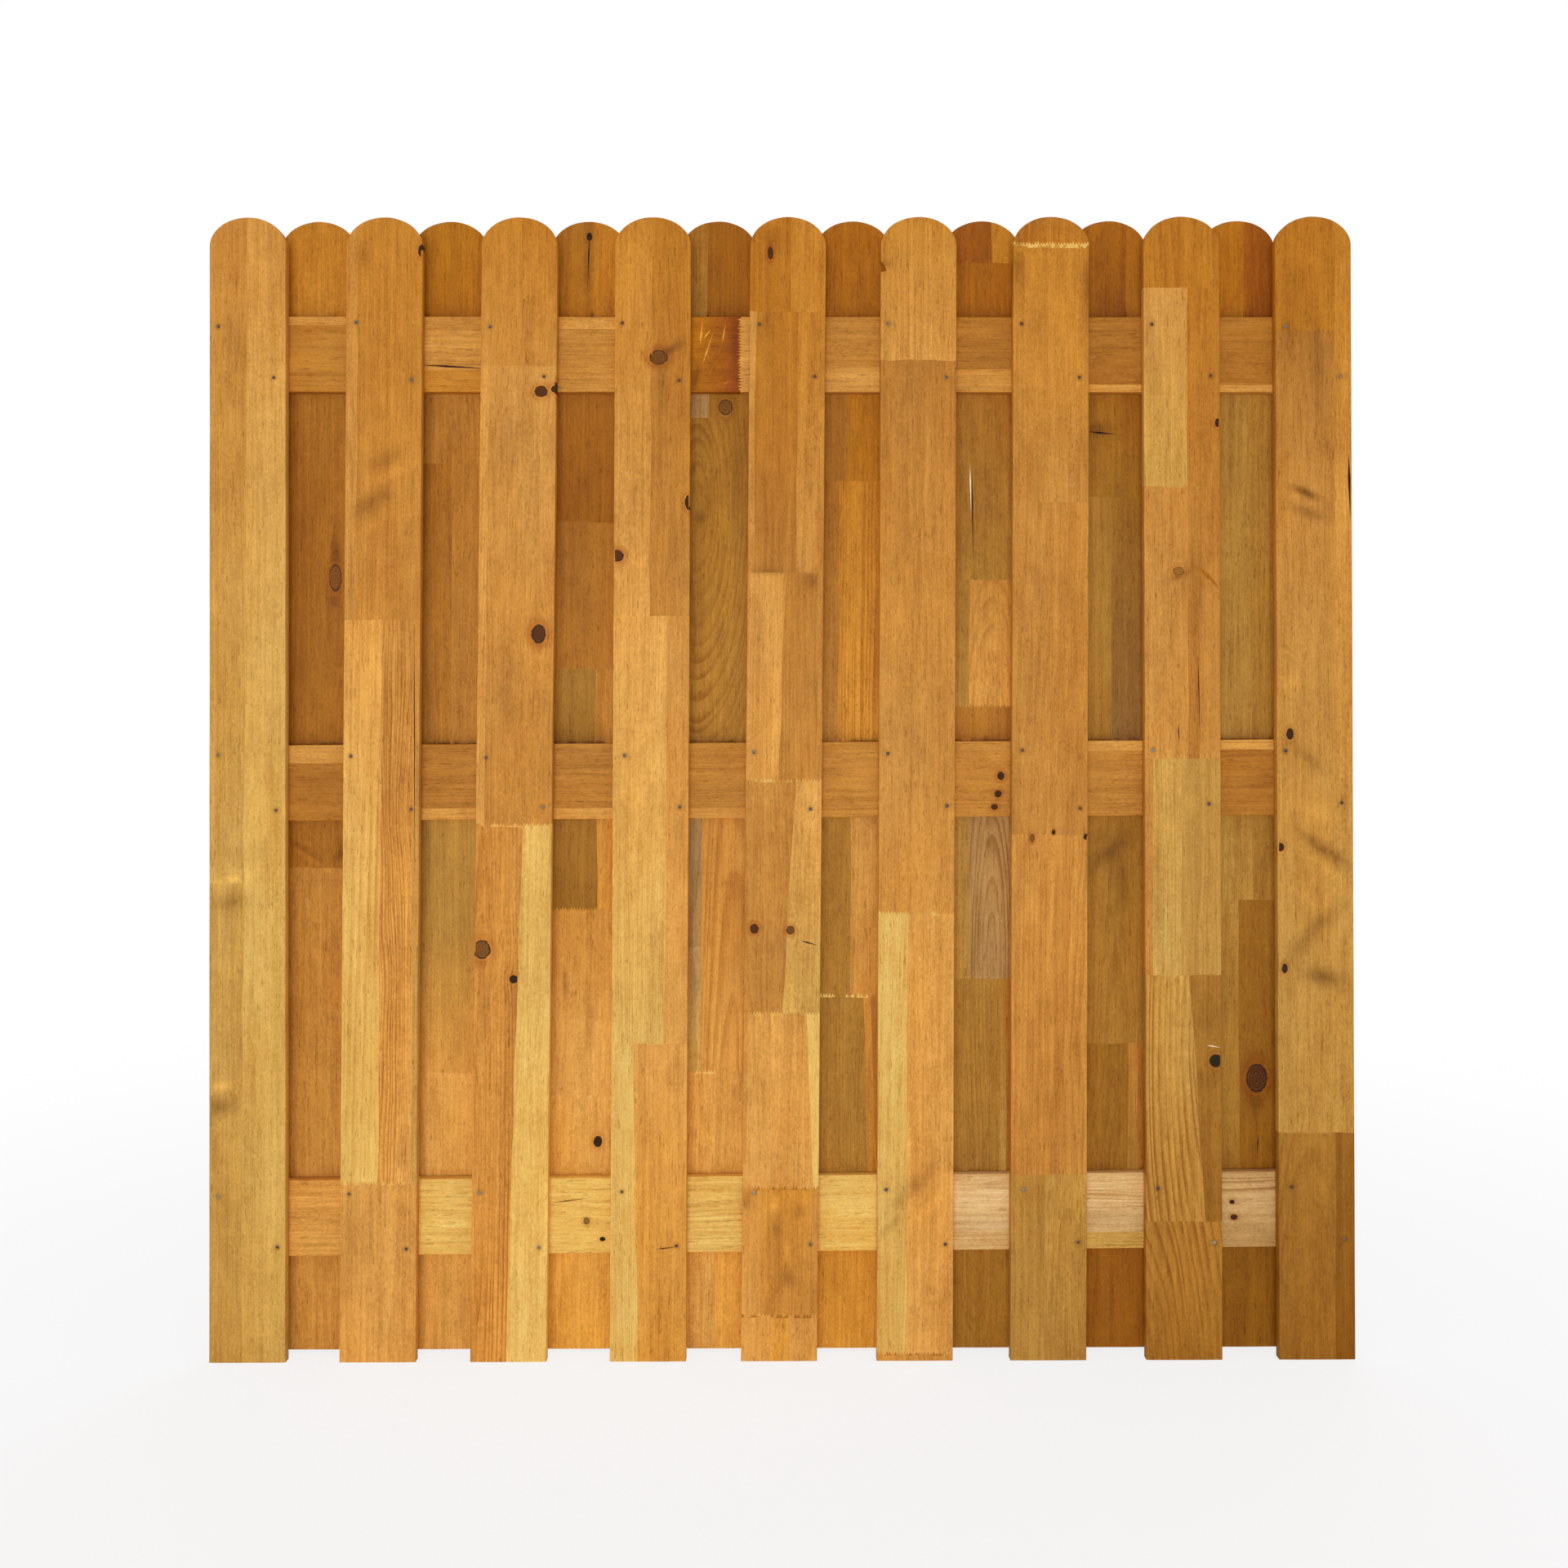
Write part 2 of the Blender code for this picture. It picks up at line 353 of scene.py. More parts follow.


# How each board is glued up. A piece gives the height where it ends, its strips from left to
# right, and the tone of its comb's teeth where they stand out. Knots are share of the width,
# height, half width and half height in mm, and blackness, which is below nought where a knot
# is more like rings in wood of the board's own colour. Stains are share, height, half width
# and half height, slant in degrees and strength, and a strength below nought is a pale patch.
# Cracks run from a share and a height to another, with a width in mm and the tone of what
# shows in them. The near-black tone named crack is painted shade of a crack's depth, as the face stays
# flat.
BOARDS = {
    "front_plank_1": board(
        piece(
            0.751, strip(0.5, "clay_3", "honey_3", low_edge=0.45, figure=0.4),
            strip(1, "clay_2", "honey_2", figure=0.4),
        ),
        piece(
            0, strip(0.45, "honey_3", "honey_4", low_edge=0.43, figure=0.4),
            strip(1, "honey_2", "honey_3", on=True, figure=0.4),
        ),
        stains=[
            (0.33, 1.61, 14, 50, 0, 0.3), (0.1, 0.4, 28, 14, 6, 0.75), (0.12, 0.432, 32, 6, 10, -1),
            (0.14, 1.36, 20, 24, 20, 0.16), (0.25, 0.757, 30, 6, 10, -0.9),
            (0.3, 0.722, 26, 13, 8, 0.55), (0.5, 0.8, 34, 18, 12, 0.2),
        ],
    ),
    "front_plank_2": board(
        piece(1.165, strip(0.16, "clay_3", "clay_2", low_edge=0.14), strip(1, "amber_3", "clay_3")),
        piece(
            0.281, strip(0.5, "clay_1", "honey_1", low_edge=0.49, figure=1.2),
            strip(0.92, "clay_3", "clay_1", figure=2.6), strip(1, "clay_3", "honey_3"),
            teeth="honey_1",
        ),
        piece(0, strip(1, "clay_1")),
        knots=[(0.99, 1.747, 5, 9, 0.7)],
        stains=[
            (0.22, 1.74, 14, 30, 0, 0.4), (0.55, 1.42, 30, 14, 25, 0.45),
            (0.6, 1.395, 34, 5, 25, -0.6), (0.36, 1.35, 30, 16, 28, 0.6),
            (0.4, 1.315, 30, 7, 28, -0.4), (0.8, 0.33, 14, 26, 0, 0.3),
            (0.1, 0.18, 22, 90, 0, 0.26), (0.35, 0.2, 10, 40, 0, 0.14),
            (0.8, 0.262, 20, 12, 0, -0.3),
        ],
        cracks=[(0.92, 1.165, 0.95, 0.74, 1.6, "crack")],
    ),
    "front_plank_3": board(
        piece(1.565, strip(0.53, "amber_3", "clay_3"), strip(1, "amber_4", "clay_3")),
        piece(0.843, strip(0.12, "clay_1"), strip(1, "clay_2", "clay_3"), teeth="honey_2"),
        piece(
            0,
            strip(0.61, "clay_3", "clay_2", low_edge=0.47, figure=4, arch=(0.1, 0.35, 46, 1500, 8)),
            strip(1, "honey_2", "honey_1", figure=2.4),
        ),
        knots=[
            (0.8, 1.525, 9, 8, 0), (0.985, 1.529, 6, 5, 0.5), (0.8, 1.143, 10, 13, 0),
            (0.1, 0.646, 12, 13, -0.35), (0.52, 0.6, 6, 6, 0.8),
        ],
        stains=[
            (0.35, 1.43, 26, 50, 15, 0.2), (0.35, 1.04, 24, 46, 0, 0.22),
            (0.14, 0.56, 6, 70, 0, 0.4), (0.62, 0.72, 4, 60, 0, 0.4), (0.52, 0.54, 4, 50, 0, 0.4),
        ],
    ),
    "front_plank_4": board(
        piece(1.17, strip(0.49, "amber_3", "clay_1", low_edge=0.47), strip(1, "amber_4", "clay_3")),
        piece(0.498, strip(0.7, "clay_1", "honey_2", figure=1.8), strip(1, "clay_2", "clay_1")),
        piece(0, strip(0.28, "honey_1", low_edge=0.37), strip(1, "clay_1", "amber_1", figure=0.6)),
        knots=[(0.58, 1.578, 13, 10, -0.3), (0.98, 1.35, 5, 10, 0.7), (0.05, 1.265, 9, 8, 0)],
        stains=[
            (0.58, 1.578, 12, 10, 0, 0.5), (0.76, 1.592, 18, 7, 28, 0.75),
            (0.62, 1.53, 12, 40, 0, 0.35), (0.62, 1.44, 8, 60, 0, 0.25),
            (0.8, 1.29, 12, 60, 0, 0.18),
        ],
        cracks=[(0.6, 0.176, 0.86, 0.18, 2, "crack")],
    ),
    "front_plank_5": board(
        piece(1.65, strip(0.54, "amber_4"), strip(1, "amber_3")),
        piece(
            1.238, strip(0.09, "clay_2", "clay_3"), strip(0.64, "amber_4", "clay_4"),
            strip(1, "amber_3", "clay_2"),
        ),
        piece(
            0.912, strip(0.52, "clay_2", "clay_1", low_edge=0.42), strip(0.93, "clay_4", "clay_3"),
            strip(1, "clay_3"), teeth="honey_2",
        ),
        piece(
            0.546, strip(0.66, "clay_3", low_edge=0.5), strip(1, "clay_1", "honey_3"),
            teeth="honey_2",
        ),
        piece(
            0.272, strip(0.82, "clay_1", low_edge=0.93, figure=0.5), strip(1, "honey_1"),
            teeth="clay_5",
        ),
        piece(
            0.072, strip(0.24, "clay_2", "clay_1"), strip(0.9, "amber_2", "clay_3", figure=1.8),
            strip(1, "clay_2", "clay_3"), teeth="clay_5",
        ),
        piece(0, strip(0.42, "clay_1"), strip(0.63, "amber_1"), strip(1, "clay_1")),
        knots=[(0.27, 1.742, 4, 9, 0.3), (0.13, 0.678, 6, 7, 0.1), (0.6, 0.676, 6, 6, -0.2)],
        stains=[
            (0.3, 1.765, 18, 16, 0, 0.35), (0.26, 1.7, 6, 60, 0, 0.25), (0.3, 1.24, 26, 7, 0, 0.45),
            (0.85, 1.226, 12, 12, 0, 0.5), (0.4, 0.65, 30, 14, 0, 0.18),
            (0.06, 0.25, 8, 16, 0, 0.5), (0.34, 0.115, 8, 18, 0, -0.7),
            (0.45, 0.21, 7, 22, 25, 0.5), (0.62, 0.13, 12, 14, -30, 0.5),
            (0.75, 0.235, 10, 10, 0, 0.4), (0.58, 0.17, 6, 14, 20, -0.8),
            (0.42, 0.245, 9, 8, 20, -0.6),
        ],
        cracks=[(0.74, 0.66, 0.98, 0.652, 2.6, "crack")],
    ),
    "front_plank_6": board(
        piece(1.573, strip(1, "amber_3", "clay_2")),
        piece(1.2, strip(1, "clay_4", "clay_3")),
        piece(0.703, strip(1, "clay_3", "clay_2", on=True), teeth="honey_1"),
        piece(0.012, strip(0.39, "honey_1", "honey_2"), strip(1, "clay_1"), teeth="clay_5"),
        piece(0, strip(1, "clay_2")),
        stains=[
            (0.06, 1.725, 8, 8, 0, 0.5), (0.1, 1.022, 10, 20, 0, 0.35),
            (0.12, 1.04, 16, 24, 30, -0.35), (0.5, 0.275, 48, 12, 42, 0.5),
            (0.66, 0.236, 30, 10, 42, -0.5), (0.16, 0.21, 16, 9, 42, 0.4),
            (0.3, 0.325, 30, 8, 42, -0.3), (0.8, 0.9, 22, 60, 0, 0.12),
        ],
    ),
    "front_plank_7": board(
        piece(1.757, strip(1, "clay_5", "amber_4", figure=2), teeth="honey_1"),
        piece(1.754, strip(1, "honey_1"), teeth="honey_1"),
        piece(1.349, strip(1, "amber_3", "clay_3")),
        piece(0.825, strip(1, "clay_3")),
        piece(0.291, strip(1, "clay_2", "clay_3", figure=1.3)),
        piece(0, strip(0.45, "honey_5", figure=1.4), strip(1, "honey_4", "honey_5")),
        knots=[(0.55, 0.829, 2.6, 4, 0.8), (0.27, 0.82, 3.4, 6, -0.4), (0.97, 0.822, 3, 4, 1)],
        stains=[
            (0.07, 1.72, 9, 40, 0, 0.7), (0.98, 1.69, 6, 60, 0, 0.6), (0.3, 1.39, 10, 60, 0, 0.15),
            (0.3, 1.085, 10, 20, 0, 0.2),
        ],
    ),
    "front_plank_8": board(
        piece(1.687, strip(1, "amber_4")),
        piece(1.373, strip(0.57, "clay_2", "honey_3"), strip(1, "amber_4", "clay_4")),
        piece(
            0.944, strip(0.58, "clay_3", "clay_2"), strip(0.72, "clay_4"),
            strip(1, "clay_4", "clay_3"),
        ),
        piece(0.604, strip(0.1, "clay_3"), strip(0.48, "honey_3"), strip(1, "honey_4", figure=1.5)),
        piece(
            0.217,
            strip(0.58, "honey_4", "honey_5", low_edge=0.78, figure=4, arch=(0.96, 0.469, 62, 300, 7)),
            strip(1, "honey_6", "honey_7"),
        ),
        piece(0, strip(1, "honey_6", "honey_7", figure=5, arch=(-0.3, -0.14, 120, 500, 13))),
        knots=[(0.97, 1.474, 4, 6, 0.8), (0.45, 1.24, 8, 6, -0.8), (0.92, 0.469, 9, 9, 1)],
        stains=[
            (0.85, 0.54, 20, 34, 0, 0.2), (0.82, 0.44, 26, 14, 0, 0.3),
            (0.45, 1.232, 30, 6, 25, 0.45), (0.7, 1.19, 8, 60, 0, 0.25),
            (0.3, 1.1, 16, 60, 0, 0.12),
        ],
        cracks=[
            (0.72, 1.245, 0.99, 1.214, 8, "amber_5"), (0.76, 1.24, 0.99, 1.21, 1.6, "crack"),
            (0.62, 1.31, 0.66, 1.12, 1.6, "clay_5"), (0.7, 1.115, 0.73, 0.95, 1.6, "crack"),
            (0.44, 1, 0.45, 0.965, 1.8, "crack"), (0.8, 0.494, 0.98, 0.49, 1.6, "splinter"),
        ],
    ),
    "front_plank_9": board(
        piece(1.62, strip(0.78, "amber_4", figure=0.5), strip(1, "amber_3", figure=0.5)),
        piece(
            1.36, strip(0.78, "clay_5", "clay_3", on=True, figure=0.5),
            strip(1, "amber_3", "clay_2", on=True, figure=0.5),
        ),
        piece(
            0.356, strip(0.78, "clay_3", "honey_4", low_edge=0.72, on=True, figure=0.5),
            strip(1, "clay_2", "honey_4", on=True, figure=0.5),
        ),
        piece(
            0, strip(0.74, "honey_6", "honey_7", figure=1.6, arch=(0.4, -0.05, 60, 380, 7)),
            strip(1, "honey_7", "honey_8"),
        ),
        knots=[(0.17, 0.983, 5, 8, 0.7), (0.04, 0.805, 5, 6, 0.6), (0.09, 0.614, 4, 7, 0.6)],
        stains=[
            (0.55, 1.57, 7, 80, 0, 0.4), (0.2, 1.68, 18, 60, 0, 0.2),
            (0.38, 1.364, 20, 7, -24, 1.1), (0.44, 1.331, 30, 9, -18, 0.65),
            (0.62, 0.8, 36, 10, -35, 0.9), (0.7, 0.765, 34, 8, -35, -0.5),
            (0.6, 0.6, 30, 14, -12, 0.8), (0.3, 0.65, 22, 14, 40, 0.5),
            (0.6, 0.69, 26, 14, 30, 0.5), (0.5, 0.86, 30, 12, -20, -0.5),
            (0.4, 0.725, 22, 14, -30, -0.4), (0.4, 0.945, 26, 11, -38, 0.5),
            (0.2, 1.065, 20, 12, -8, -0.6),
        ],
        cracks=[(0.955, 1.425, 0.975, 1.315, 4, "crack")],
    ),
    "back_plank_1": board(
        piece(1.6, strip(1, "amber_4", "amber_3")),
        piece(0.767, strip(1, "clay_6")),
        piece(0, strip(1, "clay_4", "clay_3")),
        knots=[(0.72, 1.23, 9, 20, -0.7)],
        stains=[
            (0.25, 1.1, 16, 80, 0, 0.25), (0.3, 1.28, 14, 60, 0, 0.2), (0.72, 1.272, 8, 22, 0, 0.6),
            (0.7, 1.19, 10, 10, 0, 0.4), (0.3, 0.797, 26, 5, -32, 0.6),
            (0.36, 0.782, 26, 4, -32, -0.7), (0.8, 0.79, 10, 14, 40, 0.8),
            (0.7, 0.77, 12, 5, 40, -0.5),
        ],
    ),
    "back_plank_2": board(
        piece(1.6, strip(1, "amber_5")),
        piece(1.412, strip(1, "clay_4", "clay_5")),
        piece(
            0.95, strip(0.32, "clay_6", "clay_5"), strip(0.52, "clay_6", "clay_5"),
            strip(1, "clay_5", "clay_4"),
        ),
        piece(0.66, strip(1, "honey_5")),
        piece(0.44, strip(1, "honey_5", "clay_2", on=True)),
        piece(0, strip(1, "clay_1", "clay_2", on=True)),
        stains=[
            (0.22, 1.5, 8, 90, 0, 0.35), (0.2, 0.78, 12, 80, 0, 0.2), (0.3, 0.4, 6, 34, 0, 0.3),
        ],
    ),
    "back_plank_3": board(
        piece(1.6, strip(0.55, "clay_6", "amber_5"), strip(1, "amber_4")),
        piece(1.318, strip(1, "clay_6", "clay_7")),
        piece(1.083, strip(1, "clay_6", "clay_5")),
        piece(0.95, strip(0.62, "honey_6", "honey_7"), strip(1, "clay_4")),
        piece(
            0.7, strip(0.66, "honey_6", "honey_7"), strip(1, "clay_3", "amber_2"), teeth="amber_3",
        ),
        piece(0.402, strip(1, "clay_3", "clay_1"), teeth="honey_1"),
        piece(0, strip(1, "clay_1", "amber_1")),
        knots=[(0.5, 1.775, 4, 6, 1), (0.7, 0.33, 6, 8, 0.8)],
        stains=[(0.5, 1.72, 5, 50, 0, 0.35), (0.25, 0.58, 5, 24, 0, 0.5)],
        cracks=[(0.5, 1.78, 0.48, 1.69, 2.4, "crack")],
    ),
    "back_plank_4": board(
        piece(1.6, strip(0.35, "clay_6", "honey_6"), strip(1, "clay_7")),
        piece(1.485, strip(0.38, "khaki_5"), strip(1, "honey_7")),
        piece(0.95, strip(1, "honey_7", "honey_6", figure=3.2, arch=(0.22, 1.345, 46, 170, 6))),
        piece(0.64, strip(0.3, "khaki_5", figure=1.5), strip(1, "clay_3", figure=2.4)),
        piece(
            0.441, strip(0.3, "khaki_4", "honey_3", on=True, figure=1.5),
            strip(1, "clay_3", "clay_2", on=True, figure=2.4), teeth="honey_1",
        ),
        piece(0, strip(0.5, "clay_1"), strip(1, "clay_2", "amber_1")),
        knots=[(0.6, 1.502, 10, 11, -0.7)],
        stains=[
            (0.27, 1.325, 9, 9, 0, 0.7), (0.66, 1.22, 10, 80, 0, -0.45),
            (0.5, 1.31, 8, 30, 0, -0.3), (0.75, 1.4, 10, 60, 0, 0.3), (0.2, 1.2, 12, 120, 0, 0.2),
        ],
    ),
    "back_plank_5": board(
        piece(1.6, strip(1, "amber_6", "amber_5")),
        piece(1.383, strip(0.45, "clay_6"), strip(1, "amber_5")),
        piece(0.95, strip(0.34, "clay_6", "clay_4"), strip(1, "amber_4", "amber_2", figure=1.8)),
        piece(0.562, strip(0.52, "honey_6"), strip(1, "clay_2", "clay_3"), teeth="honey_1"),
        piece(
            0.25, strip(0.7, "honey_6", low_edge=0.78),
            strip(0.8, "clay_3", "amber_3", low_edge=0.9), strip(1, "clay_5"),
        ),
        piece(0, strip(1, "amber_3", "amber_2")),
    ),
    "back_plank_6": board(
        piece(1.733, strip(0.64, "amber_7"), strip(1, "amber_4")),
        piece(1.6, strip(1, "amber_6")),
        piece(1.225, strip(1, "clay_6", "honey_6")),
        piece(
            1.023, strip(0.35, "honey_6", "honey_5"),
            strip(1, "clay_4", "clay_2", figure=1.8, arch=(0.66, 0.96, 40, 210, 6)), teeth="clay_5",
        ),
        piece(0.95, strip(1, "clay_5")),
        piece(
            0.588, strip(0.35, "honey_5"),
            strip(1, "khaki_5", figure=2.6, arch=(0.66, 0.62, 30, 260, 5)),
        ),
        piece(
            0.25, strip(0.77, "honey_6", figure=1.8), strip(0.86, "honey_6", "honey_4"),
            strip(1, "clay_5"),
        ),
        piece(0, strip(1, "honey_7", figure=2.5, arch=(0.45, 0.13, 30, 130, 5))),
        cracks=[(0.38, 1.4, 0.4, 1.24, 2.4, "crack"), (0.35, 1.41, 0.37, 1.33, 2, "splinter")],
    ),
    "back_plank_7": board(
        piece(1.6, strip(0.73, "amber_6", "clay_8"), strip(1, "amber_6", "clay_6")),
        piece(1.357, strip(1, "clay_7", "honey_7")),
        piece(0.95, strip(0.53, "honey_6"), strip(1, "honey_7", "khaki_7")),
        piece(0.484, strip(1, "honey_7", "honey_6")),
        piece(0.25, strip(0.73, "honey_7"), strip(0.86, "clay_4", "honey_6"), strip(1, "clay_5")),
        piece(0, strip(1, "clay_7")),
        stains=[
            (0.34, 1.466, 22, 11, 0, 0.6), (0.5, 0.79, 34, 16, 38, 0.6),
            (0.3, 0.835, 18, 12, 30, -0.5), (0.66, 0.74, 14, 40, 15, 0.4),
            (0.4, 0.735, 14, 30, 20, -0.3), (0.7, 1.44, 22, 10, 30, -0.3),
            (0.5, 0.6, 30, 60, 0, -0.12),
        ],
        cracks=[(0.22, 1.462, 0.62, 1.457, 3.4, "crack")],
    ),
    "back_plank_8": board(
        piece(1.6, strip(0.59, "amber_5"), strip(1, "amber_7")),
        piece(0.712, strip(0.65, "honey_6", "honey_5"), strip(1, "honey_6")),
        piece(0.25, strip(0.46, "honey_5", "honey_7"), strip(1, "honey_7", "honey_8")),
        piece(0, strip(1, "honey_8")),
        knots=[(0.69, 0.428, 15, 20, 0)],
        stains=[(0.72, 0.385, 20, 16, 0, 0.3), (0.3, 0.55, 16, 50, 0, 0.15)],
        cracks=[(0.7, 0.338, 0.69, 0.3, 2, "crack")],
    ),
    # The rails run from left to right, and their strips lie from the bottom up
    "top_rail": board(
        piece(0.27, strip(0.88, "amber_4", "clay_4"), strip(1, "clay_2")),
        piece(0.48, strip(0.3, "amber_3"), strip(1, "clay_3", figure=2.6)),
        piece(0.69, strip(0.83, "clay_4", "clay_3"), strip(1, "clay_2")),
        piece(0.752, strip(1, "resin")),
        piece(0.834, strip(1, "resin", "burnt_resin", on=True), teeth="amber_1"),
        piece(0.9, strip(1, "clay_2")),
        piece(1.11, strip(0.33, "clay_3", "clay_2"), strip(1, "clay_4")),
        piece(1.32, strip(0.3, "clay_3"), strip(1, "clay_5")),
        piece(1.53, strip(0.1, "clay_2"), strip(1, "clay_5")),
        piece(1.8, strip(0.1, "clay_2"), strip(1, "clay_5")),
        stains=[
            (0.74, 0.827, 26, 8, 0, 0.5), (0.47, 0.827, 16, 7, 0, 0.3),
            (0.19, 0.764, 20, 7, 10, 0.8), (0.11, 0.815, 10, 14, 0, -0.6),
            (0.78, 0.773, 24, 10, 15, -0.7), (0.5, 0.8, 9, 5, 30, 0.35),
            (0.33, 0.79, 9, 5, -30, 0.3), (0.4, 0.815, 8, 4, 30, -0.4),
        ],
        cracks=[
            (0.36, 0.325, 0.3, 0.45, 3.2, "crack"), (0.35, 0.7748, 0.8, 0.7927, 3, "amber_2"),
            (0.65, 0.8064, 0.9, 0.8121, 2.6, "amber_2"), (0.71, 0.7773, 0.83, 0.7886, 3, "amber_2"),
            (0.62, 0.7714, 0.94, 0.7756, 3.4, "amber_2"), (0.5, 0.8, 0.6, 0.806, 2.4, "amber_5"),
            (0.22, 0.785, 0.36, 0.793, 2.6, "amber_5"), (0.1, 0.806, 0.16, 0.824, 2.6, "amber_5"),
        ],
    ),
    "middle_rail": board(
        piece(0.27, strip(0.76, "clay_5"), strip(1, "clay_2", "clay_3")),
        piece(0.48, strip(0.15, "clay_2"), strip(1, "clay_5", "clay_4")),
        piece(0.69, strip(0.15, "clay_2"), strip(1, "clay_4")),
        piece(0.9, strip(0.14, "clay_2", "clay_3"), strip(1, "clay_4")),
        piece(1.11, strip(1, "clay_4", "clay_3")),
        piece(1.32, strip(0.87, "clay_3", "clay_4"), strip(1, "clay_3")),
        piece(1.53, strip(0.87, "clay_4", figure=1.6), strip(1, "clay_2")),
        piece(1.8, strip(0.87, "clay_5"), strip(1, "clay_2")),
        knots=[(0.54, 1.247, 6, 5, 0.5), (0.3, 1.243, 5, 5, 0.5), (0.13, 1.237, 4, 5, 0.2)],
    ),
    "bottom_rail": board(
        piece(0.27, strip(1, "clay_2", "clay_1")),
        piece(0.48, strip(1, "honey_1")),
        piece(0.69, strip(1, "honey_1")),
        piece(0.9, strip(1, "honey_1")),
        piece(1.11, strip(1, "honey_1")),
        piece(1.32, strip(0.26, "khaki_1"), strip(0.5, "khaki_1"), strip(1, "khaki_1", figure=3.4)),
        piece(
            1.53, strip(0.22, "honey_3"), strip(0.5, "khaki_2"),
            strip(1, "khaki_1", "khaki_2", figure=3.4),
        ),
        piece(1.8, strip(0.14, "khaki_4"), strip(0.45, "khaki_3"), strip(1, "khaki_3", figure=2.8)),
        knots=[
            (0.43, 0.59, 5, 4.5, -0.4), (0.19, 0.615, 3, 4, 1), (0.6, 1.612, 3, 4, 0.7),
            (0.4, 1.615, 4, 5, 0.4),
        ],
        cracks=[(0.67, 0.535, 0.74, 0.6, 1.6, "crack")],
    ),
}


def linear(tone):
    """A tone of 255 as scene-linear colour, less the white that the wood's sheen adds."""
    shares = [channel / 255 for channel in tone]
    light = [c / 12.92 if c < 0.04045 else ((c + 0.055) / 1.055) ** 2.4 for c in shares]
    return Vector([max(DARKEST_CHANNEL, c - SHEEN_VEIL) for c in light])


COLOURS = {name: linear(tone) for name, tone in stain_tones().items()}


# Where the CAD boards lie


def middle(values):
    values = list(values)
    return (min(values) + max(values)) / 2


def board_place(node):
    """A board's start, its two directions, and its width, length and skew, from its solid."""
    points = [vertex.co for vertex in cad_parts[node].data.vertices]
    is_rail = node.endswith("rail")
    axis = 0 if is_rail else 2
    other = 2 - axis
    start_at = min(p[axis] for p in points)
    end_at = max(p[axis] for p in points)
    start = [p for p in points if p[axis] < start_at + TINY]
    # A plank's sides end at its shoulders, below the round head
    straight_to = end_at if is_rail else end_at - HEAD_RISE
    end = [p for p in points if abs(p[axis] - straight_to) < NEAR_SHOULDER]
    run = middle(p[axis] for p in end) - start_at
    rise = middle(p[other] for p in end) - middle(p[other] for p in start)
    turn = math.atan2(rise, run)
    along, across = Vector((0, 0, 0)), Vector((0, 0, 0))
    along[axis], along[other] = math.cos(turn), math.sin(turn)
    across[axis], across[other] = -math.sin(turn), math.cos(turn)
    low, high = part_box(node)
    origin = Vector((0, low[1], 0))
    origin[axis], origin[other] = start_at, middle(p[other] for p in start)
    reach = [p.dot(across) for p in points]
    length = run / math.cos(turn)
    if not is_rail:
        length = max((p - origin).dot(along) for p in points)
    return {
        "origin": origin,
        "along": along,
        "across": across,
        "width": max(reach) - min(reach),
        "length": length,
        "front": low[1] + FACE_SKIN,
        "thickness": high[1] - low[1] - 2 * FACE_SKIN,
        "skew": math.tan(turn),
        "is_rail": is_rail,
        "gain": LAYER_GAIN["rail" if is_rail else node.split("_")[0]],
    }


FRONT_PLANKS = sorted(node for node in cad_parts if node.startswith("front_plank"))
BACK_PLANKS = sorted(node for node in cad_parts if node.startswith("back_plank"))
RAILS = sorted(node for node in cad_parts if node.endswith("_rail"))
PLACES = {node: board_place(node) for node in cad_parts}

# One board's outline, in its own plane: s is the way across from the middle line, t along


def wander_at(node, point):
    """A slow wander of a board's edges, between 0 and 1."""
    lane = random.Random(node).uniform(0, WANDER_LANES)
    spot = Vector((point.x * WANDER_ACROSS, point.y * WANDER_ALONG, lane))
    return 0.5 + 0.5 * noise.noise(spot)


def stops(start, end, step):
    """Evenly spaced values from start to just short of end."""
    count = max(1, round(abs(end - start) / step))
    return [start + (end - start) * i / count for i in range(count)]


def board_corners(node, place):
    """The board's outline, from its start corner up its right side and down its left."""
    half, length, skew = place["width"] / 2, place["length"], place["skew"]
    drop = half * skew
    points = [(s, s * skew) for s in stops(-half, half, EDGE_STEP)]
    if place["is_rail"]:
        points += [(half, t) for t in stops(drop, length + drop, EDGE_STEP)]
        points += [(s, length + s * skew) for s in stops(half, -half, EDGE_STEP)]
        points += [(-half, t) for t in stops(length - drop, -drop, EDGE_STEP)]
        return [Vector(point) for point in points]
    shoulder = length - HEAD_RISE
    points += [(half, t) for t in stops(drop, shoulder, EDGE_STEP)]
    for turn in stops(0, math.pi, math.pi / HEAD_STEPS):
        points.append((half * math.cos(turn), shoulder + HEAD_RISE * math.sin(turn)))
    left_from = shoulder
    if node == CHIPPED_PLANK:
        top = length - CHIP_BELOW_HEAD
        points.append((-half, shoulder))
        points += [(-half + into * CHIP_DEPTH, top - down * CHIP_LENGTH) for into, down in CHIP_EDGE]
        left_from = top - CHIP_LENGTH
    points += [(-half, t) for t in stops(left_from, -drop, EDGE_STEP)]
    return [Vector(point) for point in points]


def is_sawn(a, b, place):
    """Whether a side of the outline is the board's sawn start or end."""
    skewed = [point.y - point.x * place["skew"] for point in (a, b)]
    at_start = max(skewed) < TINY
    at_end = place["is_rail"] and min(skewed) > place["length"] - TINY
    return at_start or at_end


def inset(before, here, after, first, last):
    """The point inside a corner, by one distance from the side before and one from after."""
    into = (here - before).normalized()
    out_of = (after - here).normalized()
    first_way = Vector((-into.y, into.x))
    last_way = Vector((-out_of.y, out_of.x))
    turn = first_way.dot(last_way)
    if turn > NEARLY_STRAIGHT:
        return here + (first_way + last_way).normalized() * (first + last) / 2
    spread = 1 - turn * turn
    by_first = first_way * (first - last * turn) / spread
    by_last = last_way * (last - first * turn) / spread
    return here + by_first + by_last


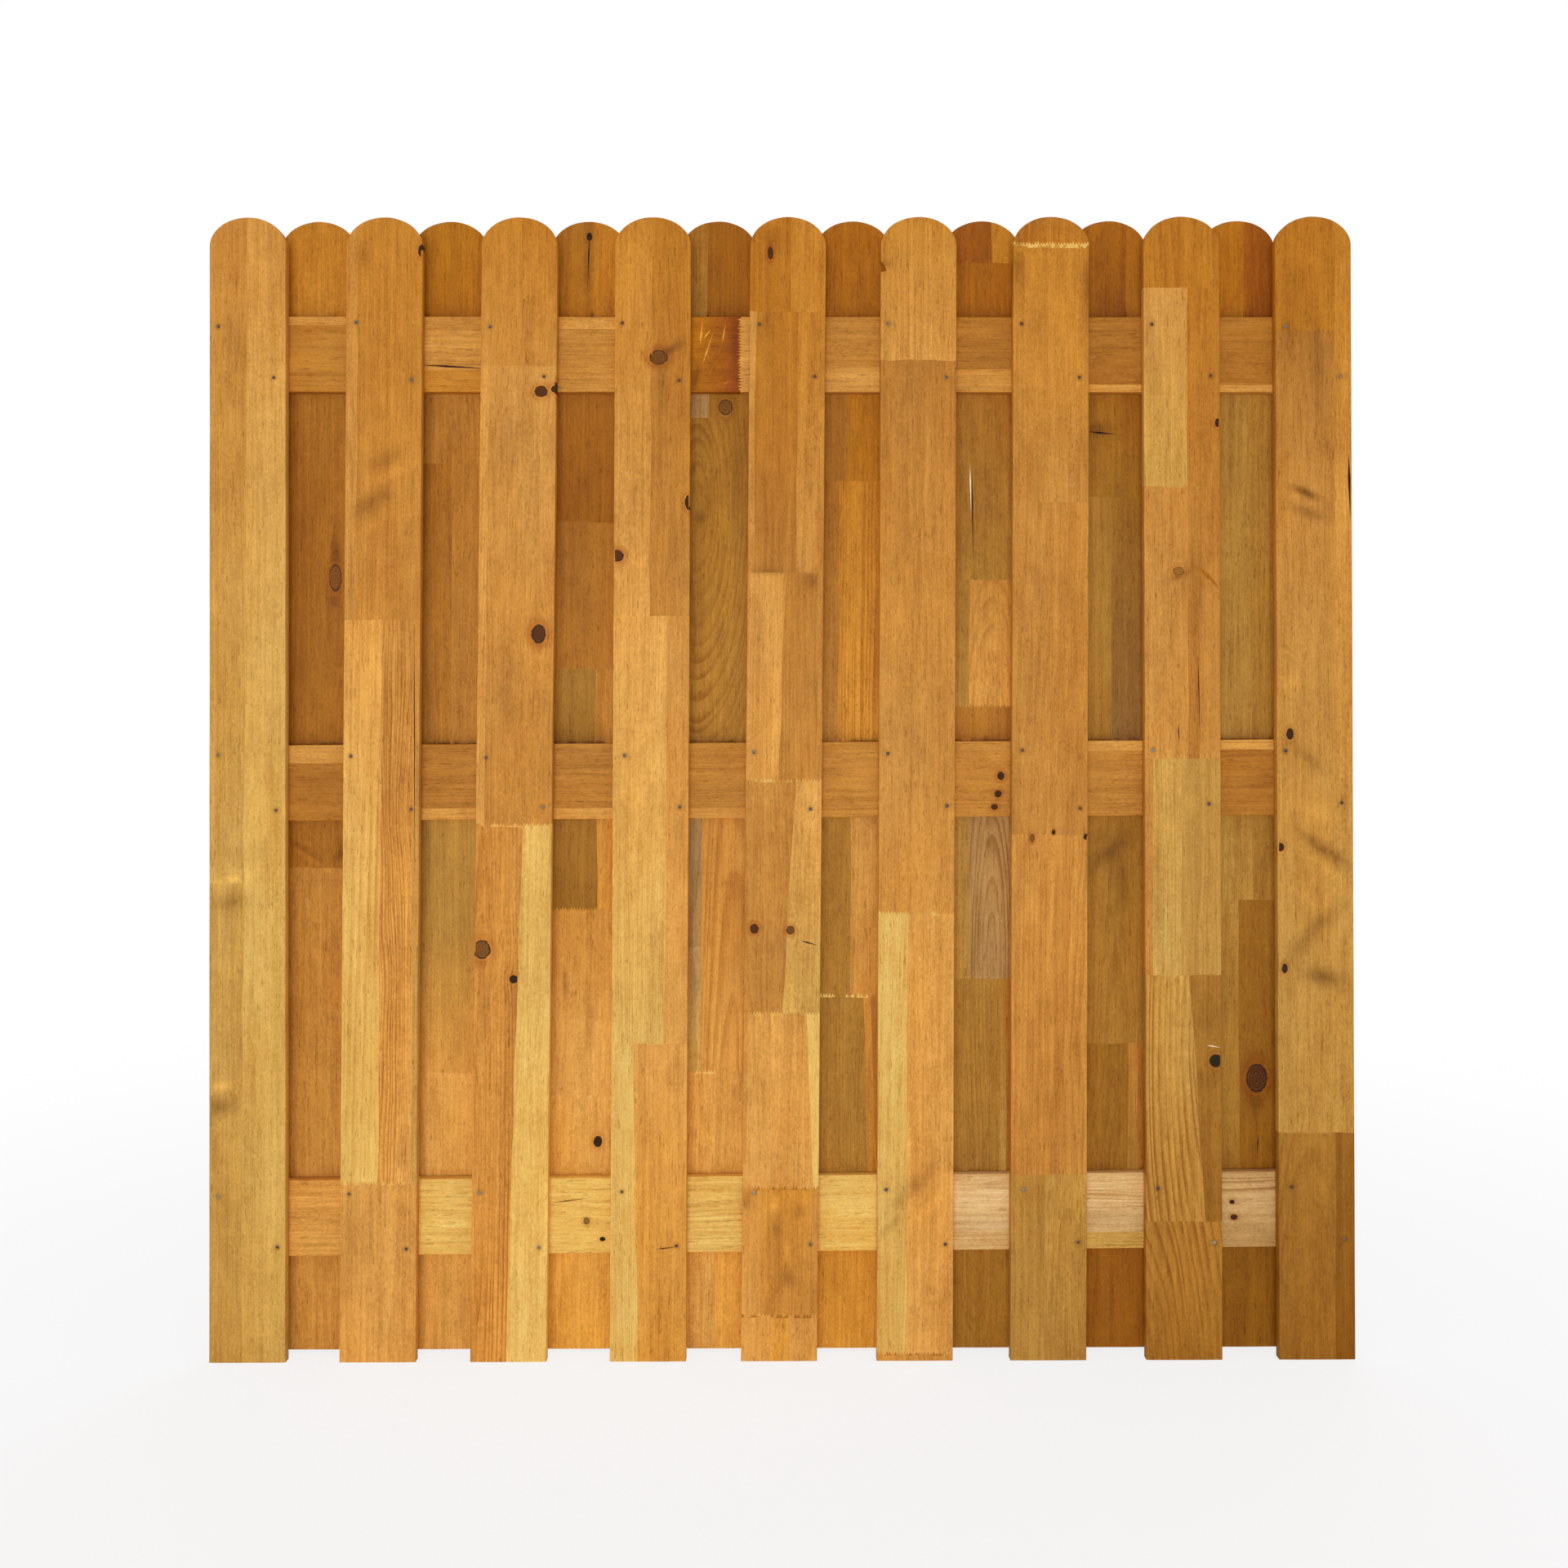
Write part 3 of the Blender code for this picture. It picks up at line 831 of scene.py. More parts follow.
def outline(node, place):
    """The board's outer edge and the edge of its flat face, point for point."""
    points = board_corners(node, place)
    outer, inner = [], []
    for i, here in enumerate(points):
        before, after = points[i - 1], points[(i + 1) % len(points)]
        wander = wander_at(node, here)
        worn, eased = [], []
        for side in ((before, here), (here, after)):
            sawn = is_sawn(*side, place)
            arris = ARRIS * (ARRIS_LEAST + ARRIS_SPREAD * wander)
            worn.append(SAWN_WEAR if sawn else EDGE_WOBBLE * wander)
            eased.append(SAWN_ARRIS if sawn else arris)
        outer.append(inset(before, here, after, *worn))
        both = [a + b for a, b in zip(worn, eased)]
        inner.append(inset(before, here, after, *both))
    return outer, inner


# One board's pieces and marks


def comb_tip(end, number):
    """How far one tip of a comb joint reaches, as a share of its teeth's length."""
    reach = TOOTH_REACH + TOOTH_SPREAD * noise.cell(Vector((number, end / MM, 0)))
    return reach if number % 2 else -reach


def comb(end, teeth, s):
    """The height of a comb joint's glue line at a place across the board."""
    number = s / (TOOTH_PITCH / 2)
    before = math.floor(number)
    first, last = comb_tip(end, before), comb_tip(end, before + 1)
    share = first + (number - before) * (last - first)
    if teeth:
        return end + TOOTH_LENGTH * share
    stray = JOINT_STRAY * noise.noise(Vector((s * JOINT_BENDS, end / MM, 0.5)))
    return end + PLAIN_JOINT * share + stray


def ordered_pieces(node, place):
    """A board's pieces as start, end, strips, teeth and the seed of each strip's grain."""
    lane = random.Random(node).randrange(SEED_LANES)
    direction = 1 if place["is_rail"] else -1
    start = -TOOTH_LENGTH if place["is_rail"] else place["length"] + TOOTH_LENGTH
    pieces, seeds = [], []
    for count, (end, strips, teeth) in enumerate(BOARDS[node]["pieces"]):
        fresh = [lane + SEED_BY_PIECE * count + SEED_BY_STRIP * i for i in range(len(strips))]
        seeds = [
            seeds[min(i, len(seeds) - 1)] if part["on"] else fresh[i]
            for i, part in enumerate(strips)
        ]
        if count == len(BOARDS[node]["pieces"]) - 1:
            end = (place["length"] if place["is_rail"] else 0) + direction * TOOTH_LENGTH
        pieces.append((start, end, strips, teeth, seeds))
        start = end
    return pieces


def strip_edge(part, seed, place, run, t):
    """Where a strip ends across the board. Its glue line strays a little."""
    share = part["edge"] + run * (part["low_edge"] - part["edge"])
    stray = SEAM_STRAY * noise.noise(Vector((seed, t * SEAM_BENDS, 0.5)))
    return (share - 0.5) * place["width"] + stray


def find_strip(pieces, place, s, t):
    """The numbers of the piece and the strip at a point of the board."""
    for count, (start, end, strips, teeth, seeds) in enumerate(pieces):
        line = comb(end, teeth, s)
        within = t < line if place["is_rail"] else t > line
        if within or count == len(pieces) - 1:
            break
    run = min(1, max(0, (t - start) / (end - start)))
    for i, part in enumerate(strips):
        if s < strip_edge(part, seeds[i], place, run, t):
            break
    return count, i


def teeth_tone(pieces, place, s, t):
    """The tone of the comb teeth that a point lies in, where they stand out."""
    for start, end, strips, teeth, seeds in pieces:
        tooth = Vector((math.floor(s / TOOTH_PITCH), end / MM, 3))
        if teeth is None or noise.cell(tooth) < TEETH_MISSING:
            continue
        line = comb(end, teeth, s)
        if place["is_rail"] and line < t < end + TOOTH_LENGTH / 2:
            return teeth
        if not place["is_rail"] and end - TOOTH_LENGTH / 2 < t < line:
            return teeth
    return None


def crack_corners(crack, place):
    """A crack's long thin diamond, from its two ends and its width."""
    share_a, t_a, share_b, t_b, width, tone = crack
    first = Vector(((share_a - 0.5) * place["width"], t_a))
    last = Vector(((share_b - 0.5) * place["width"], t_b))
    run = (last - first).normalized()
    side = Vector((-run.y, run.x)) * width * MM / 2
    wide = first.lerp(last, CRACK_WIDEST_AT)
    return [first, wide - side, last, wide + side]


def inside_polygon(point, corners):
    inside = False
    for i, a in enumerate(corners):
        b = corners[i - 1]
        if (a.y > point.y) != (b.y > point.y):
            if point.x < (b.x - a.x) * (point.y - a.y) / (b.y - a.y) + a.x:
                inside = not inside
    return inside


def knot_place(knot, place):
    """A knot's middle, its half width and half height in metres, and its blackness."""
    share, t, half_across, half_along, black = knot
    return (share - 0.5) * place["width"], t, half_across * MM, half_along * MM, black


def marks_at(node, place, s, t):
    """The grain's sideways shift, nearness to a knot, its blackness, and staining."""
    shift, near, black, stain = 0.0, 0.0, 0.0, 0.0
    for knot in BOARDS[node]["knots"]:
        knot_s, knot_t, wide, high, dark = knot_place(knot, place)
        off_s, off_t = s - knot_s, t - knot_t
        away = math.hypot(off_s / wide, off_t / high)
        past = (off_t / (KNOT_BEND_ALONG * high)) ** 2
        bend = math.exp(-past - abs(off_s) / (KNOT_BEND_ACROSS * wide))
        shift -= wide * math.tanh(off_s / (KNOT_BEND_CORE * wide)) * bend
        if 1 - away / KNOT_REACH > near:
            near, black = 1 - away / KNOT_REACH, dark
    for share, height, wide, high, slant, strength in BOARDS[node]["stains"]:
        off_s = s - (share - 0.5) * place["width"]
        off_t = t - height - off_s * math.tan(math.radians(slant))
        reach = (off_s / (wide * MM)) ** 2 + (off_t / (high * MM)) ** 2
        stain += strength * math.exp(-reach)
    return shift, near, black, stain


def painted_rail_shade_at(place, s, t):
    """Painted shade on a back plank's front, in the corner above each rail."""
    spot = place["origin"] + place["across"] * s + place["along"] * t
    dark = 0.0
    for rail in RAILS:
        rail_place = PLACES[rail]
        off = (spot - rail_place["origin"]).dot(rail_place["across"])
        above = off - rail_place["width"] / 2
        crisp, soft = RAIL_SHADE[rail]
        if above > -RAIL_SHADE_LINE:
            above = max(0, above)
            dark += crisp * math.exp(-above / RAIL_SHADE_LINE) + soft * math.exp(-above / RAIL_SHADE_REACH)
    return dark


def rail_shade_points(place):
    # The rows let the mesh carry the painted shade above each rail
    """Points across a back plank in rows that close in on each rail's upper side."""
    points = []
    half = place["width"] / 2
    for rail in RAILS:
        rail_place = PLACES[rail]
        middle_t = (rail_place["origin"] - place["origin"]).z
        middle_x = place["origin"].x - rail_place["origin"].x
        climb = rail_place["along"].z / rail_place["along"].x
        for away in RAIL_SHADE_ROWS:
            for column in range(RAIL_SHADE_COLUMNS + 1):
                s = -half + 2 * half * column / RAIL_SHADE_COLUMNS
                t = middle_t + (middle_x + s) * climb
                points.append(Vector((s, t + rail_place["width"] / 2 + away)))
    return points


def rings_round(s, t, across, along, reaches, spokes):
    """Points in rings round a knot or a nail."""
    points = []
    for number, reach in enumerate(reaches):
        for spoke in range(spokes if reach else 1):
            turn = 2 * math.pi * (spoke + 0.5 * (number % 2)) / spokes
            out, up = reach * across * math.cos(turn), reach * along * math.sin(turn)
            points.append(Vector((s + out, t + up)))
    return points


def stain_points(stain, place):
    """Points in slanting rows over a stain, so that the mesh can carry it."""
    share, height, wide, high, slant, strength = stain
    lean = math.tan(math.radians(slant))
    points = []
    for across in STAIN_STEPS:
        off = across * wide * MM
        s = (share - 0.5) * place["width"] + off
        if abs(s) < place["width"] / 2:
            points += [Vector((s, height + off * lean + up * high * MM)) for up in STAIN_STEPS]
    return points


def joint_lines(pieces, place):
    """The glue lines that cut a face: combs across, and the strips' edges along."""
    half, length = place["width"] / 2, place["length"]
    direction = 1 if place["is_rail"] else -1
    lines = []
    for start, end, strips, teeth, seeds in pieces:
        if 0 < end < length:
            count = math.ceil(half / (TOOTH_PITCH / 2))
            sides = [i * TOOTH_PITCH / 2 for i in range(-count, count + 1)]
            lines.append([Vector((s, comb(end, teeth, s))) for s in sides])
            if teeth:
                past = end + direction * TOOTH_LENGTH / 2
                lines.append([Vector((-half, past)), Vector((half, past))])
        count = math.ceil(abs(end - start) / SEAM_STEP)
        runs = [(i / count, start + (end - start) * i / count) for i in range(count + 1)]
        for part, seed in zip(strips[:-1], seeds):
            lines.append([Vector((strip_edge(part, seed, place, *run), run[1])) for run in runs])
    return lines


def scattered_points(node, place):
    """A loose grid of points over a board's face."""
    scatter = random.Random(node)
    half, length = place["width"] / 2, place["length"]
    rows = round(length / GRID_ALONG)
    columns = round(2 * half / GRID_ACROSS)
    points = []
    for row in range(rows):
        for column in range(columns):
            aside = column + 0.5 + scatter.uniform(-GRID_SCATTER, GRID_SCATTER)
            up = row + 0.5 + scatter.uniform(-GRID_SCATTER, GRID_SCATTER)
            points.append(Vector((-half + aside * 2 * half / columns, up * length / rows)))
    return points


def board_plan(node, place, inner, nails):
    """The points and lines that cut a board's face into its strips and marks."""
    pieces = ordered_pieces(node, place)
    points = list(inner)
    edges = [(i, (i + 1) % len(inner)) for i in range(len(inner))]
    lines = joint_lines(pieces, place)
    for crack in BOARDS[node]["cracks"]:
        corners = crack_corners(crack, place)
        lines.append(corners + corners[:1])
    for line in lines:
        first = len(points)
        points.extend(line)
        edges.extend((first + i, first + i + 1) for i in range(len(line) - 1))

    points.extend(scattered_points(node, place))
    for knot in BOARDS[node]["knots"]:
        *spot, black = knot_place(knot, place)
        points.extend(rings_round(*spot, KNOT_RINGS, KNOT_SPOKES))
    for stain in BOARDS[node]["stains"]:
        points.extend(stain_points(stain, place))
    for s, t in nails:
        points.extend(rings_round(s, t, NAIL_RADIUS, NAIL_RADIUS, NAIL_RINGS, NAIL_SPOKES))
    if node in BACK_PLANKS:
        points.extend(rail_shade_points(place))
    return pieces, points, edges


# One board's mesh


def face_centre(corners, face):
    return sum((corners[i] for i in face), Vector((0, 0))) / len(face)


def cut_face(points, edges, inner):
    """The face cut into triangles along its lines, without what lies outside its outline."""
    found = delaunay_2d_cdt(points, edges, [], 1, TINY, False)
    corners, faces = found[0], found[2]
    kept = []
    sides = [p.x for p in inner]
    low = min(p.y for p in inner) + FACE_MARGIN
    high = max(p.y for p in inner) - HEAD_RISE
    left = min(sides) + CHIP_DEPTH + FACE_MARGIN
    right = max(sides) - FACE_MARGIN
    for face in faces:
        centre = face_centre(corners, face)
        well_in = left < centre.x < right and low < centre.y < high
        if well_in or inside_polygon(centre, inner):
            kept.append(tuple(face))
    return corners, kept


def rim_sides(faces):
    """The triangle sides that only one triangle has, with that triangle's number."""
    owners = {}
    for number, face in enumerate(faces):
        for i, corner in enumerate(face):
            owners[(corner, face[(i + 1) % len(face)])] = number
    return [(a, b, number) for (a, b), number in owners.items() if (b, a) not in owners]


def outer_partner(point, inner, outer):
    """The point of the outer edge that belongs to a point on the flat face's edge."""
    best = None
    for i, a in enumerate(inner):
        b = inner[(i + 1) % len(inner)]
        run = b - a
        share = min(1, max(0, (point - a).dot(run) / max(run.length_squared, TINY * TINY)))
        off = (point - a - run * share).length
        if best is None or off < best[0]:
            best = (off, outer[i].lerp(outer[(i + 1) % len(inner)], share))
    return best[1]


def arris_points(point, partner, thickness):
    """The places, depths and lightening round a board's eased side, from its front to its back: partly
    wear, partly a painted highlight.
    """
    out = partner - point
    steps = range(1, ARRIS_STEPS + 1)
    places = []
    for step, in_front in [(i, True) for i in steps] + [(i, False) for i in reversed(steps)]:
        turn = math.pi / 2 * step / ARRIS_STEPS
        sunk = out.length * (1 - math.cos(turn))
        depth = sunk if in_front else thickness - sunk
        worn = 1.0 if step < ARRIS_STEPS else SIDE_WEAR_AND_HIGHLIGHT
        places.append((point + out * math.sin(turn), depth, worn))
    return places


def paint_at(pieces, place, cracks, centre):
    """A triangle's paint: its piece's tones and ends, and its seed, figure and arch."""
    for tone, corners in cracks:
        if inside_polygon(centre, corners):
            return COLOURS[tone], COLOURS[tone], 0, 1, 0.0, 0.0, NO_ARCH
    count, i = find_strip(pieces, place, centre.x, centre.y)
    start, end, strips, teeth, seeds = pieces[count]
    part = strips[i]
    tooth = teeth_tone(pieces, place, centre.x, centre.y)
    first, last = COLOURS[tooth or part["tone"]], COLOURS[tooth or part["low_tone"]]
    return first, last, start, end, seeds[i], part["figure"], part["arch"]


def linked(name, data):
    """A new object in the scene."""
    made = bpy.data.objects.new(name, data)
    bpy.context.scene.collection.objects.link(made)
    return made


class BoardMesh:
    """A board's points, faces and what is painted on them, gathered before the mesh is made."""

    def __init__(self, place):
        self.place = place
        self.corners, self.grain, self.marks, self.edge = [], [], [], []
        self.faces, self.seeds, self.figures, self.smooth = [], [], [], []
        self.tones, self.arches = [], []

    def point(self, s, t, depth, marks, worn):
        place = self.place
        spot = place["origin"] + place["across"] * s + place["along"] * t
        spot.y = place["front"] + depth
        shift, near, black, stain = marks
        self.corners.append(spot)
        self.grain.append((s + shift, depth, t))
        self.marks.append((near, black, stain))
        self.edge.append(worn)
        return len(self.corners) - 1

    def face(self, corners, paint, smooth):
        first, last, start, end, seed, figure, arch = paint
        share, height, wide, high, count = arch
        if self.place["is_rail"]:
            corners = tuple(reversed(corners))
        self.faces.append(corners)
        self.seeds.append(seed)
        self.figures.append(figure)
        self.smooth.append(smooth)
        for corner in corners:
            s, depth, t = self.grain[corner]
            tone = first.lerp(last, min(1, max(0, (t - start) / (end - start))))
            self.tones.append((*(a * b for a, b in zip(tone, self.place["gain"])), 1.0))
            aside = (s - (share - 0.5) * self.place["width"]) / (wide * MM)
            self.arches.append((aside, (t - height) / (high * MM), float(count)))

    def made(self, name, material):
        mesh = bpy.data.meshes.new(name)
        mesh.from_pydata([tuple(corner) for corner in self.corners], [], self.faces)
        fill_attribute(mesh, "grain", "FLOAT_VECTOR", "POINT", "vector", self.grain)
        fill_attribute(mesh, "marks", "FLOAT_VECTOR", "POINT", "vector", self.marks)
        fill_attribute(mesh, "edge", "FLOAT", "POINT", "value", self.edge)
        fill_attribute(mesh, "seed", "FLOAT", "FACE", "value", self.seeds)
        fill_attribute(mesh, "figure", "FLOAT", "FACE", "value", self.figures)
        fill_attribute(mesh, "tone", "FLOAT_COLOR", "CORNER", "color", self.tones)
        fill_attribute(mesh, "arch", "FLOAT_VECTOR", "CORNER", "vector", self.arches)
        mesh.polygons.foreach_set("use_smooth", self.smooth)
        mesh.materials.append(material)
        return linked(name, mesh)


def fill_attribute(mesh, name, kind, domain, field, values):
    attribute = mesh.attributes.new(name, kind, domain)
    flat = []
    for value in values:
        if isinstance(value, tuple):
            flat.extend(value)
        else:
            flat.append(value)
    attribute.data.foreach_set(field, flat)


def add_flat_points(node, nails, flat, faces, dressed):
    """Adds the points of a board's two flat faces, and gives their numbers front and back."""
    place = PLACES[node]
    front, back = {}, {}
    for i in sorted({corner for face in faces for corner in face}):
        s, t = flat[i]
        *marks, stain = marks_at(node, place, s, t)
        # The dark ring round a nail is partly rust and partly painted shade of a dimple
        rust_and_dimple_shade = nail_rust_and_shade(nails, s, t)
        front_stain_and_shade = stain + (rust_and_dimple_shade if node in FRONT_PLANKS else 0)
        back_stain_and_shade = stain + (rust_and_dimple_shade if node in BACK_PLANKS else 0)
        # Back planks also get painted shade in the corner above each rail, added to their stain
        if node in BACK_PLANKS:
            front_stain_and_shade += painted_rail_shade_at(place, s, t)
        front[i] = dressed.point(s, t, 0, (*marks, front_stain_and_shade), 0.0)
        back[i] = dressed.point(s, t, place["thickness"], (*marks, back_stain_and_shade), 0.0)
    return front, back


def dress_board(node, nails, material):
    """Replaces a CAD board with one that carries its strips, joints, knots and cracks."""
    place = PLACES[node]
    outer, inner = outline(node, place)
    spots = [nail - place["origin"] for nail in nails]
    nails_here = [(spot.dot(place["across"]), spot.dot(place["along"])) for spot in spots]
    pieces, points, edges = board_plan(node, place, inner, nails_here)
    flat, faces = cut_face(points, edges, inner)
    cracks = [(crack[-1], crack_corners(crack, place)) for crack in BOARDS[node]["cracks"]]
    paints = [paint_at(pieces, place, cracks, face_centre(flat, face)) for face in faces]

    dressed = BoardMesh(place)
    front, back = add_flat_points(node, nails_here, flat, faces, dressed)
    for face, paint in zip(faces, paints):
        dressed.face(tuple(front[i] for i in face), paint, False)
        dressed.face(tuple(back[i] for i in reversed(face)), paint, False)

    border = rim_sides(faces)
    rings = {}
    for i in {a for a, b, number in border}:
        marks = marks_at(node, place, *flat[i])
        partner = outer_partner(flat[i], inner, outer)
        ring = [front[i]]
        for spot, depth, worn in arris_points(flat[i], partner, place["thickness"]):
            ring.append(dressed.point(spot.x, spot.y, depth, marks, worn))
        rings[i] = [*ring, back[i]]
    for a, b, number in border:
        for level in range(len(rings[a]) - 1):
            quad = (rings[a][level], rings[a][level + 1], rings[b][level + 1], rings[b][level])
            dressed.face(quad, paints[number], True)

    made = dressed.made(f"{node}_wood", material)
    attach(made, "root")
    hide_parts(node)


# Nails


def nail_spots(planks):
    """Two nails where each plank crosses each rail, one high on the left and one low right."""
    scatter = random.Random("nails")
    spots = {}
    for plank in planks:
        spots[plank] = []
        place = PLACES[plank]
        for rail in RAILS:
            rail_place = PLACES[rail]
            slope = rail_place["along"].z / rail_place["along"].x
            centre_x = place["origin"].x + place["along"].x * rail_place["origin"].z
            height = rail_place["origin"].z + centre_x * slope
            for side in (-1, 1):
                across = side * NAIL_ACROSS + scatter.uniform(-NAIL_DRIFT, NAIL_DRIFT)
                up = -side * NAIL_UP + scatter.uniform(-NAIL_DRIFT, NAIL_DRIFT)
                t = (height + up - place["origin"].z) / place["along"].z
                spot = place["origin"] + place["along"] * t + place["across"] * across
                spots[plank].append(spot)
    return spots


def nail_rust_and_shade(nails, s, t):
    """The dark ring round a nail's head: partly rust stain in the wood, partly painted shade of a
    dimple that the mesh doesn't have.
    """
    dark = 0.0
    for nail_s, nail_t in nails:
        away = math.hypot(s - nail_s, t - nail_t) / NAIL_HALO
        dark = max(dark, NAIL_RUST_AND_SHADE * math.exp(-away * away))
    return dark


def add_nail(shape, scatter, nail, face_y, outward):
    """One nail head, a low dome that is seated in the wood."""
    radius = NAIL_RADIUS * scatter.uniform(*NAIL_SIZES)
    proud = FACE_SKIN * scatter.uniform(*NAIL_PROUD)
    tilt = scatter.uniform(0, 1)
    rings = []
    for share, height in NAIL_PROFILE:
        ring = []
        for side in range(NAIL_SIDES):
            turn = 2 * math.pi * (side + tilt) / NAIL_SIDES
            x = nail.x + radius * share * math.cos(turn)
            z = nail.z + radius * share * math.sin(turn)
            ring.append(shape.verts.new((x, face_y + outward * proud * height, z)))
        rings.append(ring)
    shape.faces.new(rings[0])
    for inner_ring, outer_ring in zip(rings, rings[1:]):
        for i in range(NAIL_SIDES):
            j = (i + 1) % NAIL_SIDES
            shape.faces.new((inner_ring[i], outer_ring[i], outer_ring[j], inner_ring[j]))
    shape.faces.new(list(reversed(rings[-1])))


def make_nails(name, spots, face_y, outward, material):
    """The heads of a layer's nails as one mesh."""
    shape = bmesh.new()
    scatter = random.Random(name)
    for nails in spots.values():
        for nail in nails:
            add_nail(shape, scatter, nail, face_y, outward)
    bmesh.ops.recalc_face_normals(shape, faces=shape.faces)
    mesh = bpy.data.meshes.new(name)
    shape.to_mesh(mesh)
    shape.free()
    mesh.materials.append(material)
    mesh.shade_smooth()
    made = linked(name, mesh)
    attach(made, "root")


# Materials


class Graph:
    """The nodes of a material or of the world, added in short lines."""

    def __init__(self, holder):
        holder.use_nodes = True
        self.holder = holder
        self.tree = holder.node_tree

    def add(self, kind, inputs=None, **settings):
        node = self.tree.nodes.new(kind)
        for key, value in settings.items():
            setattr(node, key, value)
        for key, value in (inputs or {}).items():
            self.set(node.inputs[key], value)
        return node

    def set(self, socket, value):
        if isinstance(value, bpy.types.NodeSocket):
            self.tree.links.new(value, socket)
        else:
            socket.default_value = value

    def read(self, name, output):
        node = self.add("ShaderNodeAttribute", attribute_type="GEOMETRY", attribute_name=name)
        return node.outputs[output]

    def maths(self, operation, first, second=0.0, third=0.0):
        node = self.add("ShaderNodeMath", {0: first, 1: second, 2: third}, operation=operation)
        return node.outputs[0]

    def times(self, first, second):
        return self.maths("MULTIPLY", first, second)

    def line(self, value, slope, start):
        """A value times a slope, and a start added."""
        return self.maths("MULTIPLY_ADD", value, slope, start)

    def length(self, aside, up):
        return self.maths("SQRT", self.line(aside, aside, self.times(up, up)))

    def ramp(self, value, low, high, to_low=0.0, to_high=1.0):
        """A smooth step from one value to another."""
        inputs = {0: value, 1: low, 2: high, 3: to_low, 4: to_high}
        node = self.add("ShaderNodeMapRange", inputs, interpolation_type="SMOOTHSTEP")
        return node.outputs[0]

    def step(self, value, name):
        return self.ramp(value, *STEPS[name])

    def split(self, vector):
        return self.add("ShaderNodeSeparateXYZ", {0: vector}).outputs

    def vector(self, operation, inputs):
        return self.add("ShaderNodeVectorMath", inputs, operation=operation)

    def noise(self, vector, bends, detail):
        stretched = self.vector("MULTIPLY", {0: vector, 1: bends}).outputs[0]
        inputs = {"Vector": stretched, "Scale": 1.0, "Detail": detail}
        return self.add("ShaderNodeTexNoise", inputs).outputs["Fac"]

    def texture(self, vector, name):
        return self.noise(vector, *TEXTURES[name])

    def chance(self, seed, more):
        """Three values between 0 and 1 that belong to a seed."""
        number = self.maths("ADD", seed, more)
        node = self.add("ShaderNodeTexWhiteNoise", {"W": number}, noise_dimensions="1D")
        return node.outputs["Color"]

    def mix(self, share, first, second, blend="MIX"):
        node = self.add("ShaderNodeMix", data_type="RGBA", blend_type=blend)
        for index, value in ((0, share), (6, first), (7, second)):
            self.set(node.inputs[index], value)
        return node.outputs[2]

    def tint(self, colour, by):
        """A colour multiplied by one of the tints, or by another colour."""
        return self.mix(1.0, colour, TINTS[by] if isinstance(by, str) else by, "MULTIPLY")

    def tint_where(self, share, colour, by):
        """A colour that takes on a tint where the share says so."""
        return self.mix(share, colour, self.tint(colour, by))

    def scale(self, colour, by):
        return self.vector("SCALE", {0: colour, "Scale": by}).outputs[0]

    def bump(self, strength, distance, height):
        inputs = {"Strength": strength, "Distance": distance, "Height": height}
        return self.add("ShaderNodeBump", inputs).outputs[0]

    def mix_shaders(self, share, first, second):
        inputs = {0: share, 1: first.outputs[0], 2: second.outputs[0]}
        return self.add("ShaderNodeMixShader", inputs).outputs[0]

    def finish_shader(self, colour, roughness, normal, **constants):
        """Gives the material's shader its colour, roughness and normal, and what is constant."""
        shader = self.tree.nodes["Principled BSDF"]
        self.set(shader.inputs["Base Color"], colour)
        self.set(shader.inputs["Roughness"], roughness)
        self.set(shader.inputs["Normal"], normal)
        for name, value in constants.items():
            shader.inputs[name.replace("_", " ")].default_value = value


def read_wood(graph):
    """What a board's mesh says of its wood, and six chances of each strip's own."""
    seed = graph.read("seed", "Fac")
    wood = {
        "grain": graph.read("grain", "Vector"),
        "figure": graph.read("figure", "Fac"),
        "tone": graph.read("tone", "Color"),
        "edge": graph.read("edge", "Fac"),
    }
    wood["luck"] = []
    for more in LUCKS:
        wood["luck"] += graph.split(graph.chance(seed, more))
    wood["near"], wood["black"], wood["stain"] = graph.split(graph.read("marks", "Vector"))
    wood["aside"], wood["above"], wood["ovals"] = graph.split(graph.read("arch", "Vector"))
    shifts = graph.chance(seed, LUCK_SHIFT)
    shift = graph.vector("MULTIPLY", {0: shifts, 1: SHIFT_REACH}).outputs[0]
    wood["moved"] = graph.vector("ADD", {0: wood["grain"], 1: shift}).outputs[0]
    return wood


def ring_turns(graph, wood):
    """How many growth rings lie between a point and its heart, which is behind the face.

    Nested ovals take the rings' place where the saw ran through the top of a ring.
    """
    luck = wood["luck"]
    x, depth, z = graph.split(wood["grain"])
    wander = graph.maths("SUBTRACT", graph.texture(wood["moved"], "wander"), 0.5)
    off_x = graph.maths("ADD", x, graph.line(luck[0], *HEART_ASIDE))
    off_x = graph.maths("ADD", off_x, graph.times(z, graph.line(luck[2], *LEAN_ASIDE)))
    off_x = graph.line(wander, WANDER_ASIDE, off_x)
    off_y = graph.maths("ADD", depth, graph.line(luck[1], *HEART_BEHIND))
    off_y = graph.maths("ADD", off_y, graph.times(z, graph.line(luck[3], *LEAN_BEHIND)))
    off_y = graph.line(wander, WANDER_BEHIND, off_y)
    turns = graph.times(graph.length(off_x, off_y), graph.line(luck[5], *RING_CLOSENESS))
    reach = graph.line(wander, OVAL_WANDER, graph.length(wood["aside"], wood["above"]))
    more = graph.maths("SUBTRACT", graph.times(reach, wood["ovals"]), turns)
    return graph.line(more, graph.maths("GREATER_THAN", wood["ovals"], 0.5), turns)


